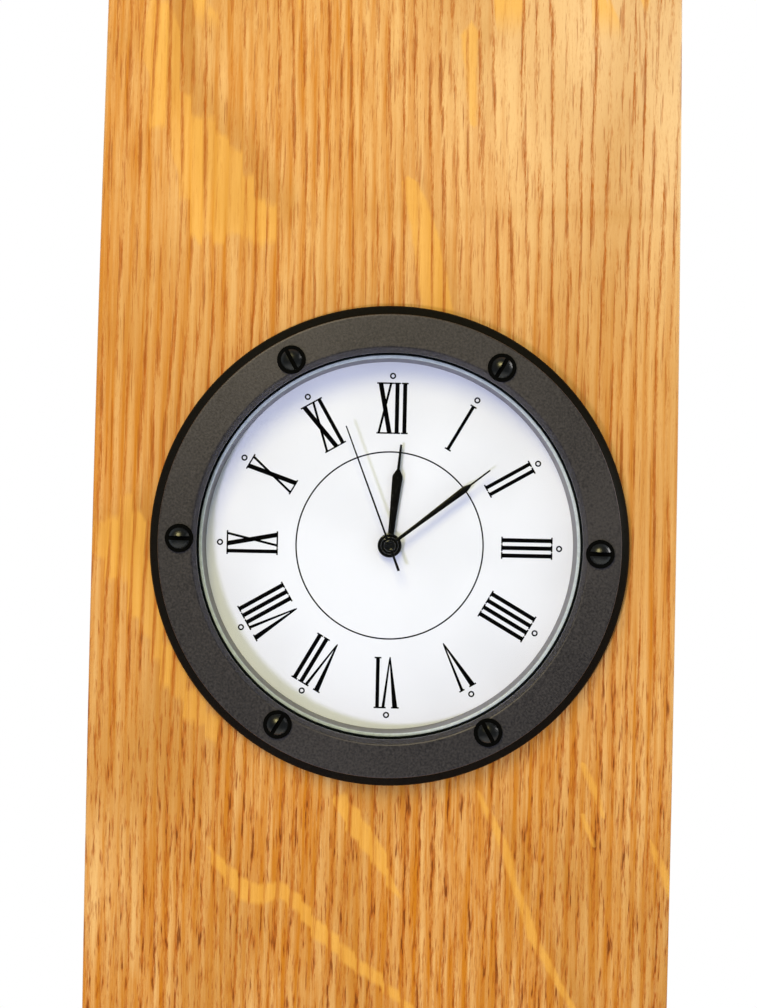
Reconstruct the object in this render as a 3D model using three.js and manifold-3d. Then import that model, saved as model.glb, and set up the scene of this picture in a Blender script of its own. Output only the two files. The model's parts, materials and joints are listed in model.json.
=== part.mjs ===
// Wall clock made from one oak barrel stave, with a 70 mm battery clock insert pressed into its front.
// Millimetres, +Z up. The dial faces -Y and the origin is the notch of the hanger that takes the wall nail.
import * as THREE from 'three';
import { mergeVertices } from 'three/addons/utils/BufferGeometryUtils.js';
import Module from 'manifold-3d';

const wasm = await Module();
wasm.setup();

// Stave: a board bent along its length, planed flat across the front and hollow across the back
const STAVE_LENGTH = 914;
const STAVE_WIDTH = 86;
const STAVE_THICKNESS = 25;
const BELLY_RADIUS = 330;
const BOW_DEPTH = 63;
const WIDEST_DROP = 60;
const EDGE_EASING = 0.8;
const CHIME_LENGTH = 32;
const CHIME_THICKNESS = 15;
const CROZE_INSET = 46;
const CROZE_WIDTH = 6;
const CROZE_DEPTH = 5;
const POCKET_OFFSET = 0.8;

// Sawtooth hanger on the back, and its two screws
const HANGER_DROP = 137;
const HANGER_LENGTH = 48;
const HANGER_HEIGHT = 11;
const HANGER_SHEET = 1;
const HANGER_STANDOFF = 2.4;
const HANGER_TAB = 9;
const HANGER_RAMP = 3;
const HANGER_SEAT = 0.15;
const TOOTH_PITCH = 3;
const NOTCH_DEPTH = 1.5;
const NOTCH_COUNT = 7;
const HANGER_SCREW_SHANK = 2.2;
const HANGER_SCREW_HEAD = 5;
const HANGER_SCREW_DOME = 1.4;
const HANGER_SCREW_LENGTH = 13;
const HANGER_SCREW_SLOT = 0.8;
const HANGER_SCREW_SLOT_DEPTH = 0.7;

// Dial opening and the rings that are built outwards from it
const DIAL_OPENING = 53.9;
const DIAL_RING_RIM = 0.35;
const DIAL_RING_SLOPE = 0.4;
const DIAL_RING_GAP = 0.2;
const LIP_SETBACK = 0.15;
const SPIGOT_WALL = 0.7;
const SPIGOT_LENGTH = 1.5;
const CASE_WALL = 0.9;
const CASE_SHOULDER = 1.6;
const CASE_BACK = 1.3;
const GRIP_WALL = 0.5;
const GRIP_RIB = 0.35;
const GRIP_LENGTH = 6;
const GRIP_SETBACK = 2.4;
const GRIP_RIBS = 2;
const POCKET_FIT = 0.15;
const FIT = 0.05;

// Bezel base ring, clamping face ring and crystal
const BEZEL_BASE_HEIGHT = 3;
const BEZEL_LAND = 1.1;
const BEZEL_SLOPE = 1.4;
const FACE_THICKNESS = 1.4;
const FACE_WIDTH = 5.55;
const FACE_LIP_HEIGHT = 0.5;
const FACE_LIP_SLOPE = 0.7;
const CRYSTAL_OVERLAP = 0.6;
const CRYSTAL_THICKNESS = 1.5;

// Six slotted screws round the face
const FACE_SCREW_COUNT = 6;
const FACE_SCREW_START = 31;
const FACE_SCREW_INSET = 0.35;
const FACE_SCREW_HEAD = 4;
const FACE_SCREW_DOME = 1.1;
const FACE_SCREW_SHANK = 1.6;
const FACE_SCREW_GRIP = 1.5;
const FACE_SCREW_SLOT = 0.65;
const FACE_SCREW_SLOT_DEPTH = 0.6;

// Dial and hands, with the time that they show
const DIAL_THICKNESS = 0.5;
const HAND_THICKNESS = 0.22;
const HAND_GAP = 0.85;
const HOUR_ANGLE = 5.4;
const MINUTE_ANGLE = 52;
const SECOND_ANGLE = -21.1;
const HOUR_HAND = {
  length: 14.9,
  shoulder: 10.7,
  flare: 0.7,
  root: 0.9,
  widest: 1.7,
  needle: 0.46,
  boss: 1.77,
};
const MINUTE_HAND = {
  length: 18.4,
  shoulder: 14.2,
  flare: 0.8,
  root: 0.6,
  widest: 1.4,
  needle: 0.3,
  boss: 1.3,
};
const SECOND_HAND = {
  length: 18.6,
  tail: 3.9,
  tip: 0.2,
  heel: 0.34,
  boss: 0.85,
};

// Movement: plates, wheels and the levels between them
const PLATE = 1;
const MIDDLE_PLATE = 0.6;
const COVER_WALL = 1;
const COVER_CORNER = 6;
const WHEEL = 0.6;
const LEVEL_GAP = 0.3;
const RUN = 0.1;
const PIVOT_RADIUS = 0.3;
const SECOND_ARBOR = 0.28;
const CANNON_BORE = 0.4;
const CANNON_RADIUS = 0.62;
const HOUR_BORE = 0.74;
const HOUR_RADIUS = 1.05;
const HUB_WALL = 0.2;
const KNOB_DIAMETER = 6;
const KNOB_PROUD = 1.2;
const KNOB_FLUTES = 12;
const KNOB_FLUTE_DEPTH = 0.2;
const KNOB_SHAFT = 0.6;
const POST_RADIUS = 1.2;
const PLATE_RIM = 0.8;
const POCKET_SPARE = 1;

// Tooth counts: motor to seconds 30:1, seconds to minutes 60:1, minutes to hours 12:1
const ROTOR_TEETH = 6;
const FIFTH_TEETH = 36;
const FIFTH_PINION = 6;
const SECONDS_TEETH = 30;
const SECONDS_PINION = 6;
const THIRD_TEETH = 45;
const THIRD_PINION = 6;
const CENTRE_TEETH = 48;
const CANNON_TEETH = 8;
const MINUTE_TEETH = 24;
const MINUTE_PINION = 6;
const HOUR_TEETH = 24;
const KNOB_TEETH = 8;
const MOTION_MODULE = 0.26;
const THIRD_MODULE = 0.22;
const SECONDS_MODULE = 0.25;
const ROTOR_MODULE = 0.18;
const ADDENDUM = 0.85;
const DEDENDUM = 1.15;
const TOOTH_ROOT_SHARE = 0.56;
const TOOTH_TIP = 0.64;

// Directions of the arbors and the battery round the dial's centre, in degrees from +X
const THIRD_DIRECTION = 186;
const FIFTH_DIRECTION = 318;
const MINUTE_DIRECTION = 120;
const BATTERY_DIRECTION = 45;

// Motor, electronics and supply
const BATTERY_DIAMETER = 11.6;
const BATTERY_HEIGHT = 5.4;
const BATTERY_STEP = 0.6;
const MAGNET_DIAMETER = 3.2;
const STATOR_GAP = 0.25;
const STATOR_NECK = 0.35;
const STATOR_LEG = 1.8;
const COIL_LENGTH = 8;
const COIL_FLANGE = 0.6;
const COIL_STEP = 0.3;
const BOARD_THICKNESS = 0.5;
const BOARD_LENGTH = 7.6;
const CAN_DIAMETER = 1.8;
const CAN_LENGTH = 5.6;
const CHIP_LENGTH = 2.6;
const CHIP_HEIGHT = 0.7;
const CONTACT_SHEET = 0.25;
const CONTACT_WIDTH = 2;
const CONTACT_SPACING = 3;
const CLEAR = 0.4;

// Facets round the rings, the small turned pieces and the arbors, and steps along the curved surfaces
const RING_SIDES = 48;
const CELL_SIDES = 24;
const SMALL_SIDES = 14;
const ARBOR_SIDES = 10;
const CORNER_STEPS = 4;
const DOME_STEPS = 3;
const STAVE_STEPS = 24;
const HOLLOW_STEPS = 6;
const SIDE_PASSES = 4;

const clock = new THREE.Group();
const insert = new THREE.Group();
const degrees = THREE.MathUtils.degToRad;

// A closed geometry as a solid that can be joined and cut
function solid(geometry) {
  const bare = geometry.clone();
  bare.deleteAttribute('normal');
  bare.deleteAttribute('uv');
  const merged = mergeVertices(bare);
  return new wasm.Manifold(new wasm.Mesh({
    numProp: 3,
    vertProperties: new Float32Array(merged.attributes.position.array),
    triVerts: new Uint32Array(merged.index.array),
  }));
}

// A finished solid as a named mesh in one group
function place(group, name, shape, material) {
  const { vertProperties, triVerts } = shape.getMesh();
  const geometry = new THREE.BufferGeometry();
  geometry.setAttribute('position', new THREE.BufferAttribute(vertProperties, 3));
  geometry.setIndex(new THREE.BufferAttribute(triVerts, 1));
  geometry.computeVertexNormals();
  const mesh = new THREE.Mesh(geometry, material);
  mesh.name = name;
  group.add(mesh);
}

function finish(color, roughness, metalness = 0) {
  return new THREE.MeshStandardMaterial({ color, roughness, metalness, flatShading: true });
}

// A closed profile of [radius, height] points, counter-clockwise, turned about the Z axis
function turned(profile, sides = RING_SIDES) {
  const onAxis = profile[0][0] === 0;
  const closed = onAxis ? profile : [...profile, profile[0]];
  const points = closed.map(([radius, height]) => new THREE.Vector2(radius, height));
  return solid(new THREE.LatheGeometry(points, sides).rotateX(Math.PI / 2));
}

// A round rod along Z between two heights, centred on a point
function rod(radius, low, high, at = [0, 0], sides = ARBOR_SIDES) {
  const geometry = new THREE.CylinderGeometry(radius, radius, high - low, sides).rotateX(Math.PI / 2);
  return solid(geometry.translate(at[0], at[1], (low + high) / 2));
}

// A flat outline raised along Z between two heights
function raised(shape, low, high) {
  const options = { depth: high - low, bevelEnabled: false, curveSegments: CORNER_STEPS };
  const geometry = new THREE.ExtrudeGeometry(shape, options);
  return solid(geometry.translate(0, 0, low));
}

function block(low, high) {
  const size = high.map((value, axis) => value - low[axis]);
  const centre = high.map((value, axis) => (value + low[axis]) / 2);
  return solid(new THREE.BoxGeometry(...size).translate(...centre));
}

function outline(points) {
  return new THREE.Shape(points.map(([x, y]) => new THREE.Vector2(x, y)));
}

// A square with round corners, centred on the dial's axis
function roundedSquare(half, corner) {
  const inner = half - corner;
  const shape = new THREE.Shape();
  shape.absarc(inner, inner, corner, 0, Math.PI / 2);
  shape.absarc(-inner, inner, corner, Math.PI / 2, Math.PI);
  shape.absarc(-inner, -inner, corner, Math.PI, 1.5 * Math.PI);
  shape.absarc(inner, -inner, corner, 1.5 * Math.PI, 2 * Math.PI);
  return shape;
}

function polar(radius, direction) {
  return [radius * Math.cos(degrees(direction)), radius * Math.sin(degrees(direction))];
}

// Oak stave

const bowRadius = (STAVE_LENGTH ** 2 / 4 + BOW_DEPTH ** 2) / (2 * BOW_DEPTH);
const backRadius = bowRadius - STAVE_THICKNESS;
const bevel = Math.asin(STAVE_WIDTH / 2 / BELLY_RADIUS);
const halfLength = STAVE_LENGTH / 2;
const chimeStart = halfLength - CHIME_LENGTH;

// How far the front has fallen back from the belly at a height above the dial's centre
function frontAt(height) {
  return bowRadius - Math.sqrt(bowRadius ** 2 - height ** 2);
}

// The middle of the hollow back at a height, thinned towards both ends by the chime bevel
function backAt(height) {
  const full = bowRadius - Math.sqrt(backRadius ** 2 - height ** 2);
  const past = Math.max(0, Math.abs(height) - chimeStart) / CHIME_LENGTH;
  return full + past * (frontAt(height) + CHIME_THICKNESS - full);
}

// The hollow back's depth at a height and a distance from the middle
function backSurface(x, height) {
  const radius = BELLY_RADIUS - backAt(height);
  return backAt(height) + radius - Math.sqrt(radius ** 2 - x ** 2);
}

// One level section of the stave: flat front, eased edges, radial sides and hollow back
function staveSection(height) {
  const front = frontAt(height);
  const half = STAVE_WIDTH / 2 * (1 - frontAt(height + WIDEST_DROP) / BELLY_RADIUS);
  const eased = half - EDGE_EASING * Math.tan(bevel);
  let backHalf = half;
  for (let pass = 0; pass < SIDE_PASSES; pass += 1) {
    backHalf = half - (backSurface(backHalf, height) - front) * Math.tan(bevel);
  }
  const points = [[EDGE_EASING - half, front], [half - EDGE_EASING, front], [eased, front + EDGE_EASING]];
  for (let step = 0; step <= HOLLOW_STEPS; step += 1) {
    const x = backHalf * (1 - 2 * step / HOLLOW_STEPS);
    points.push([x, backSurface(x, height)]);
  }
  points.push([-eased, front + EDGE_EASING]);
  return points;
}

// Sections joined into one closed skin
function lofted(heights, section) {
  const rings = heights.map(section);
  const count = rings[0].length;
  const positions = rings.flatMap((ring, level) => ring.flatMap(([x, y]) => [x, y, heights[level]]));
  const index = [];
  for (let level = 0; level + 1 < rings.length; level += 1) {
    for (let corner = 0; corner < count; corner += 1) {
      const a = level * count + corner;
      const b = level * count + (corner + 1) % count;
      index.push(a, b, b + count, a, b + count, a + count);
    }
  }
  const top = (rings.length - 1) * count;
  const corners = (ring) => ring.map(([x, y]) => new THREE.Vector2(x, y));
  const capOf = (ring) => THREE.ShapeUtils.triangulateShape(corners(ring), []);
  capOf(rings[0]).forEach(([a, b, c]) => index.push(a, c, b));
  capOf(rings.at(-1)).forEach(([a, b, c]) => index.push(top + a, top + b, top + c));
  const geometry = new THREE.BufferGeometry();
  geometry.setAttribute('position', new THREE.Float32BufferAttribute(positions, 3));
  geometry.setIndex(index);
  return solid(geometry);
}

const staveHeights = [-halfLength];
for (let step = 0; step <= STAVE_STEPS; step += 1) {
  staveHeights.push(-chimeStart + 2 * chimeStart * step / STAVE_STEPS);
}
staveHeights.push(halfLength);
let stave = lofted(staveHeights, staveSection);

// The croze groove near each end, which held the barrel's head, turned about the barrel's axis
for (const side of [-1, 1]) {
  const middle = side * (halfLength - CROZE_INSET);
  const inside = BELLY_RADIUS - backAt(middle);
  const groove = turned([
    [inside - CROZE_DEPTH, middle - CROZE_WIDTH / 2],
    [inside + CROZE_DEPTH, middle - CROZE_WIDTH / 2],
    [inside + CROZE_DEPTH, middle + CROZE_WIDTH / 2],
    [inside - CROZE_DEPTH, middle + CROZE_WIDTH / 2],
  ], 3 * RING_SIDES);
  stave = stave.subtract(groove.translate(0, BELLY_RADIUS, 0));
}

// Radii of the insert, worked outwards from the dial opening

const openingRadius = DIAL_OPENING / 2;
const rimInner = openingRadius + DIAL_RING_SLOPE;
const dialRingRadius = rimInner + DIAL_RING_RIM;
const boreRadius = dialRingRadius + DIAL_RING_GAP;
const spigotRadius = boreRadius + SPIGOT_WALL;
const caseBore = spigotRadius + FIT;
const caseRadius = caseBore + CASE_WALL;
const gripBore = caseRadius + FIT;
const pocketRadius = gripBore + GRIP_WALL + POCKET_FIT;
const lipRadius = boreRadius + LIP_SETBACK;
const crystalRadius = lipRadius + CRYSTAL_OVERLAP;
const recessRadius = crystalRadius + FIT;
const faceRadius = lipRadius + FACE_WIDTH;
const bezelRadius = faceRadius + BEZEL_SLOPE;
const faceScrewCircle = (lipRadius + faceRadius) / 2 - FACE_SCREW_INSET;

// Heights of the insert in front of the wood (positive) and inside it (negative)

const faceBack = BEZEL_BASE_HEIGHT + FIT;
const faceFront = faceBack + FACE_THICKNESS;
const crystalFront = BEZEL_BASE_HEIGHT;
const crystalBack = crystalFront - CRYSTAL_THICKNESS;
const crystalSeat = crystalBack - FIT;
const secondHandBack = crystalBack - HAND_GAP - HAND_THICKNESS;
const minuteHandBack = secondHandBack - HAND_GAP - HAND_THICKNESS;
const hourHandBack = minuteHandBack - HAND_GAP - HAND_THICKNESS;
const dialFront = hourHandBack - HAND_GAP;
const dialBack = dialFront - DIAL_THICKNESS;
const plateFront = dialBack - FIT;
const plateBack = plateFront - PLATE;

// Six wheel levels, three in front of the middle plate and three behind it
const levelPitch = WHEEL + LEVEL_GAP;
const middleFront = plateBack - 3 * levelPitch - LEVEL_GAP;
const middleBack = middleFront - MIDDLE_PLATE;
const coverInside = middleBack - 3 * levelPitch - LEVEL_GAP;
const coverBack = coverInside - PLATE;
const caseInside = coverBack - FIT;
const caseBack = caseInside - CASE_BACK;
const knobBack = caseBack - KNOB_PROUD;
const pocketFloor = knobBack - POCKET_SPARE;

// The back and front of one wheel level
function level(number) {
  const start = number < 3 ? plateBack : middleBack;
  const front = start - LEVEL_GAP - (number % 3) * levelPitch;
  return [front - WHEEL, front];
}

// The pocket is bored square into the belly from the front, a little right of the middle
const pocket = rod(pocketRadius, pocketFloor, STAVE_THICKNESS, [POCKET_OFFSET, 0], RING_SIDES);
stave = stave.subtract(pocket.rotate(90, 0, 0));

// Sawtooth hanger: a strip with flat tabs and a raised middle, notched along its lower edge

const hangerRise = halfLength - HANGER_DROP;
const hangerTilt = Math.asin(hangerRise / backRadius);
const tabRise = backSurface(HANGER_LENGTH / 2, hangerRise) - backAt(hangerRise) + HANGER_SEAT;
const stripMiddle = tabRise + HANGER_STANDOFF + HANGER_SHEET / 2;
const notchCentre = new THREE.Vector3(
  0,
  backAt(hangerRise) + stripMiddle * Math.cos(hangerTilt),
  hangerRise - stripMiddle * Math.sin(hangerTilt),
);
const hanger = new THREE.Group();
hanger.position.copy(notchCentre);
hanger.rotation.x = -hangerTilt;

// The strip in the hanger's own frame: X across, Y away from the wood, Z up, notch root at the origin
function hangerStrip() {
  const end = HANGER_LENGTH / 2;
  const tab = end - HANGER_TAB;
  const raisedEnd = tab - HANGER_RAMP;
  const outer = HANGER_SHEET / 2;
  const low = -HANGER_STANDOFF;
  const side = outline([
    [-end, low - outer], [-tab, low - outer], [-raisedEnd, -outer], [raisedEnd, -outer],
    [tab, low - outer], [end, low - outer], [end, low + outer], [tab, low + outer],
    [raisedEnd, outer], [-raisedEnd, outer], [-tab, low + outer], [-end, low + outer],
  ]);
  let strip = raised(side, -NOTCH_DEPTH, HANGER_HEIGHT - NOTCH_DEPTH);
  const firstNotch = -(NOTCH_COUNT - 1) / 2;
  for (let notch = 0; notch < NOTCH_COUNT; notch += 1) {
    const x = (firstNotch + notch) * TOOTH_PITCH;
    const half = TOOTH_PITCH / 2;
    const cut = outline([[x - half, -2 * NOTCH_DEPTH], [x + half, -2 * NOTCH_DEPTH],
      [x + half, -NOTCH_DEPTH], [x, 0], [x - half, -NOTCH_DEPTH]]);
    strip = strip.subtract(raised(cut, -HANGER_SHEET, HANGER_SHEET).rotate(90, 0, 0));
  }
  return strip;
}

// A round-head screw with a slot, standing on a surface at height 0 with its shank below
function slottedScrew({ head, dome, shank, length, slot, slotDepth }) {
  const radius = head / 2;
  const profile = [[0, -length], [shank / 2, -length], [shank / 2, 0], [radius, 0]];
  for (let step = 1; step < DOME_STEPS; step += 1) {
    const turn = step / DOME_STEPS * Math.PI / 2;
    profile.push([radius * Math.cos(turn), dome * Math.sin(turn)]);
  }
  profile.push([0, dome]);
  const groove = block([-head, -slot / 2, dome - slotDepth], [head, slot / 2, 2 * dome]);
  return turned(profile, SMALL_SIDES).subtract(groove);
}

const hangerScrewX = (HANGER_LENGTH - HANGER_TAB) / 2;
const hangerScrewZ = HANGER_HEIGHT / 2 - NOTCH_DEPTH;
const tabFront = -HANGER_STANDOFF - HANGER_SHEET / 2;
let strip = hangerStrip();
const steel = finish(0xb9b6ac, 0.35, 0.9);
const hangerScrew = slottedScrew({
  head: HANGER_SCREW_HEAD,
  dome: HANGER_SCREW_DOME,
  shank: HANGER_SCREW_SHANK,
  length: HANGER_SCREW_LENGTH,
  slot: HANGER_SCREW_SLOT,
  slotDepth: HANGER_SCREW_SLOT_DEPTH,
}).rotate(-90, 0, 0);
hanger.updateMatrix();
for (const [name, side] of [['hanger_screw_left', -1], ['hanger_screw_right', 1]]) {
  const seat = [side * hangerScrewX, tabFront + HANGER_SHEET + FIT, hangerScrewZ];
  place(hanger, name, hangerScrew.translate(...seat), steel);
  const drill = rod(HANGER_SCREW_SHANK / 2 + CLEAR, -HANGER_SCREW_LENGTH - CLEAR, HANGER_SHEET);
  const hole = drill.rotate(-90, 0, 0).translate(...seat);
  strip = strip.subtract(hole);
  stave = stave.subtract(hole.transform(hanger.matrix.toArray()));
}
place(hanger, 'sawtooth_hanger', strip, steel);
place(clock, 'stave', stave, finish(0xe0a04c, 0.45));

// Bezel base ring: flange on the wood, sloping edge, recess for the crystal and spigot for the case

const glossBlack = finish(0x14150f, 0.25);
let bezel = turned([
  [boreRadius, -SPIGOT_LENGTH], [spigotRadius, -SPIGOT_LENGTH], [spigotRadius, 0], [bezelRadius, 0],
  [bezelRadius, BEZEL_LAND], [faceRadius, BEZEL_BASE_HEIGHT], [recessRadius, BEZEL_BASE_HEIGHT],
  [recessRadius, crystalSeat], [boreRadius, crystalSeat],
]);

// Face ring: clamps the crystal with its lip and carries the six screws
let face = turned([
  [lipRadius, faceBack], [faceRadius, faceBack], [faceRadius, faceFront],
  [lipRadius + FACE_LIP_SLOPE, faceFront], [lipRadius, faceBack + FACE_LIP_HEIGHT],
]);
const faceScrew = slottedScrew({
  head: FACE_SCREW_HEAD,
  dome: FACE_SCREW_DOME,
  shank: FACE_SCREW_SHANK,
  length: FACE_THICKNESS + FIT + FACE_SCREW_GRIP,
  slot: FACE_SCREW_SLOT,
  slotDepth: FACE_SCREW_SLOT_DEPTH,
});
for (let number = 0; number < FACE_SCREW_COUNT; number += 1) {
  const direction = 90 - FACE_SCREW_START - number * 360 / FACE_SCREW_COUNT;
  const at = polar(faceScrewCircle, direction);
  const bottom = BEZEL_BASE_HEIGHT - FACE_SCREW_GRIP;
  const hole = rod(FACE_SCREW_SHANK / 2 + RUN, bottom - RUN, faceFront + FIT, at);
  bezel = bezel.subtract(hole);
  face = face.subtract(hole);
  const screw = faceScrew.rotate(0, 0, direction).translate(...at, faceFront + FIT);
  place(insert, `bezel_screw_${number + 1}`, screw, glossBlack);
}
place(insert, 'bezel', bezel, glossBlack);
place(insert, 'bezel_face', face, finish(0x4c4944, 0.75));

const crystalShape = rod(crystalRadius, crystalBack, crystalFront, [0, 0], RING_SIDES);
const clear = finish(0xf4f8fa, 0.05);
clear.transparent = true;
clear.opacity = 0.2;
place(insert, 'crystal', crystalShape, clear);

// Conical ring that holds the dial down, its bright rim just behind the crystal
place(insert, 'dial_ring', turned([
  [openingRadius, dialFront + FIT], [dialRingRadius, dialFront + FIT],
  [dialRingRadius, crystalSeat - FIT], [rimInner, crystalSeat - FIT],
]), finish(0xb9bcc0, 0.4, 0.3));

// Dial: a thin disc on the case's shoulder, with a hole for the hour tube
const dialHole = HOUR_RADIUS + 2 * RUN;
place(insert, 'dial', turned([
  [dialHole, dialBack], [caseBore - FIT, dialBack], [caseBore - FIT, dialFront], [dialHole, dialFront],
]), finish(0xf4f4f6, 0.5));

// Rubber ring round the case: a thin sleeve with round ribs that grip the pocket
const gripFront = -GRIP_SETBACK;
const ribFoot = gripBore + GRIP_WALL - GRIP_RIB;
const ribPitch = GRIP_LENGTH / GRIP_RIBS;
const gripProfile = [[gripBore, gripFront - GRIP_LENGTH]];
for (let rib = 0; rib < GRIP_RIBS; rib += 1) {
  const foot = gripFront - GRIP_LENGTH + rib * ribPitch;
  gripProfile.push([ribFoot, foot], [ribFoot + GRIP_RIB, foot + ribPitch / 2]);
}
gripProfile.push([ribFoot, gripFront], [gripBore, gripFront]);
place(insert, 'grip_ring', turned(gripProfile), finish(0x1c1c1c, 0.9));

// Toothed outline of a wheel or pinion with one tooth at the angle turn
function toothed(teeth, size, turn) {
  const pitchRadius = teeth * size / 2;
  const root = pitchRadius - DEDENDUM * size;
  const tip = pitchRadius + ADDENDUM * size;
  const rootHalf = TOOTH_ROOT_SHARE * Math.PI / teeth;
  const tipHalf = TOOTH_TIP * size / 2 / tip;
  const points = [];
  for (let tooth = 0; tooth < teeth; tooth += 1) {
    const middle = turn + tooth * 2 * Math.PI / teeth;
    for (const [radius, offset] of [[root, -rootHalf], [tip, -tipHalf], [tip, tipHalf], [root, rootHalf]]) {
      points.push([radius * Math.cos(middle + offset), radius * Math.sin(middle + offset)]);
    }
  }
  return outline(points);
}

// A toothed disc on one level, with a bore where it has one
function wheel(number, teeth, size, turn, at = [0, 0], bore = 0) {
  const shape = toothed(teeth, size, turn);
  if (bore > 0) {
    shape.holes.push(new THREE.Path().absarc(0, 0, bore, 0, 2 * Math.PI, true));
  }
  return raised(shape, ...level(number)).translate(...at, 0);
}

// The turn that puts a gap of the second wheel over the nearest tooth of the first
function meshedTurn(direction, teeth, turn, otherTeeth) {
  const share = ((degrees(direction) - turn) * teeth / (2 * Math.PI)) % 1;
  return degrees(direction) + Math.PI + (share - 0.5) * 2 * Math.PI / otherTeeth;
}

// Arbor places, from the tooth counts of the wheels that run together
const thirdDistance = THIRD_MODULE * (SECONDS_PINION + THIRD_TEETH) / 2;
const centreModule = 2 * thirdDistance / (THIRD_PINION + CENTRE_TEETH);
const fifthDistance = SECONDS_MODULE * (FIFTH_PINION + SECONDS_TEETH) / 2;
const rotorDistance = ROTOR_MODULE * (ROTOR_TEETH + FIFTH_TEETH) / 2;
const minuteDistance = MOTION_MODULE * (CANNON_TEETH + MINUTE_TEETH) / 2;
const hourModule = 2 * minuteDistance / (MINUTE_PINION + HOUR_TEETH);
const knobDistance = MOTION_MODULE * (KNOB_TEETH + MINUTE_TEETH) / 2;
const thirdAt = polar(thirdDistance, THIRD_DIRECTION);
const fifthAt = polar(fifthDistance, FIFTH_DIRECTION);
const rotorAt = polar(fifthDistance + rotorDistance, FIFTH_DIRECTION);
const minuteAt = polar(minuteDistance, MINUTE_DIRECTION);
const knobAt = polar(minuteDistance + knobDistance, MINUTE_DIRECTION);
const centreTip = centreModule * (CENTRE_TEETH / 2 + ADDENDUM);
const batteryRadius = BATTERY_DIAMETER / 2;
const batteryAt = polar(centreTip + batteryRadius + 2 * CLEAR, BATTERY_DIRECTION);

// The movement's hollow takes the battery at one corner and the coil along the bottom
const motorSpace = middleBack - coverInside;
const coilRadius = motorSpace / 2 - LEVEL_GAP;
const statorHalf = MAGNET_DIAMETER / 2 + STATOR_GAP + STATOR_NECK;
const coilDrop = -rotorAt[1] + statorHalf + CLEAR + coilRadius;
const batteryReach = Math.max(...batteryAt) + batteryRadius + PLATE_RIM;
const hollowHalf = Math.max(batteryReach, coilDrop + coilRadius) + CLEAR;
const coilY = coilRadius + CLEAR - hollowHalf;
const coverHalf = hollowHalf + COVER_WALL;
const hollowCorner = COVER_CORNER - COVER_WALL;

// Arbor ends run in holes through the plates and stop half way through them
const plateMiddle = plateFront - PLATE / 2;
const middleHalf = middleFront - MIDDLE_PLATE / 2;
const coverMiddle = coverInside - PLATE / 2;
const pivotHole = PIVOT_RADIUS + RUN;
const knobHole = KNOB_SHAFT + RUN;
const brass = finish(0xc9a24a, 0.3, 0.9);
const movementBlack = finish(0x202124, 0.6);
const movementGrey = finish(0xd8d4c6, 0.6);

function drilled(shape, holes) {
  const drill = ([radius, at, sides]) => rod(radius, coverBack - PLATE, dialFront, at, sides);
  return holes.reduce((left, hole) => left.subtract(drill(hole)), shape);
}

// Front plate, with the stud of the minute wheel and three posts for the middle plate
const studRadius = PIVOT_RADIUS;
const postPlace = hollowHalf - POST_RADIUS - CLEAR - hollowCorner * (1 - Math.SQRT1_2);
let frontPlate = raised(roundedSquare(coverHalf, COVER_CORNER), plateBack, plateFront);
frontPlate = frontPlate.add(rod(studRadius, level(1)[0], plateMiddle, minuteAt));
for (const post of [[-1, 1], [-1, -1], [1, -1]]) {
  const at = post.map((sign) => sign * postPlace);
  frontPlate = frontPlate.add(rod(POST_RADIUS, middleFront + FIT, plateMiddle, at));
}
const hourTubeHole = [HOUR_RADIUS + RUN, [0, 0], SMALL_SIDES];
place(insert, 'front_plate', drilled(frontPlate, [
  hourTubeHole, [pivotHole, thirdAt], [knobHole, knobAt],
]), movementGrey);

// Middle plate inside the cover, open round the battery
const batteryHole = [batteryRadius + CLEAR, batteryAt, CELL_SIDES];
const middle = raised(roundedSquare(hollowHalf - FIT, hollowCorner), middleBack, middleFront);
const boardTop = batteryAt[1] - batteryRadius - CLEAR;
const negativeX = batteryAt[0] + CONTACT_SPACING;
const contactSlot = block(
  [batteryAt[0] - CONTACT_WIDTH, boardTop - CONTACT_SHEET - 2 * CLEAR, coverBack],
  [negativeX + CONTACT_WIDTH, batteryAt[1], plateBack],
);
place(insert, 'middle_plate', drilled(middle, [
  [SECOND_ARBOR + RUN, [0, 0]], [pivotHole, thirdAt], [pivotHole, fifthAt], [pivotHole, rotorAt],
  [knobHole, knobAt], batteryHole,
]).subtract(contactSlot), movementGrey);

// Cover: the movement's back and walls, open at the battery
const coverOuter = raised(roundedSquare(coverHalf, COVER_CORNER), coverBack, plateBack - FIT);
const coverHollow = raised(roundedSquare(hollowHalf, hollowCorner), coverInside, plateFront);
place(insert, 'movement_cover', drilled(coverOuter.subtract(coverHollow), [
  [SECOND_ARBOR + RUN, [0, 0]], [pivotHole, thirdAt], [pivotHole, fifthAt], [pivotHole, rotorAt],
  [knobHole, knobAt], batteryHole,
]), movementBlack);

// Case: a cup with a shoulder under the dial, open at the back for the knob and the battery
const hollowRadius = caseBore - CASE_SHOULDER;
const caseCup = turned([
  [0, caseBack], [caseRadius, caseBack], [caseRadius, -FIT], [caseBore, -FIT], [caseBore, dialBack - FIT],
  [hollowRadius, dialBack - FIT], [hollowRadius, caseInside], [0, caseInside],
]);
place(insert, 'case', caseCup
  .subtract(rod(KNOB_DIAMETER / 2 + CLEAR, caseBack - CLEAR, coverBack, knobAt, SMALL_SIDES))
  .subtract(rod(batteryRadius + CLEAR, caseBack - CLEAR, coverBack, batteryAt, CELL_SIDES)), movementBlack);

// Motion work: hour wheel and tube, cannon pinion and tube, minute wheel on its stud
const cannonTurn = 0;
const minuteTurn = meshedTurn(MINUTE_DIRECTION, CANNON_TEETH, cannonTurn, MINUTE_TEETH);
const hourTurn = 0;
const minutePinionTurn = meshedTurn(MINUTE_DIRECTION, HOUR_TEETH, hourTurn, MINUTE_PINION);
const knobTurn = meshedTurn(MINUTE_DIRECTION, MINUTE_TEETH, minuteTurn, KNOB_TEETH);

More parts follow.
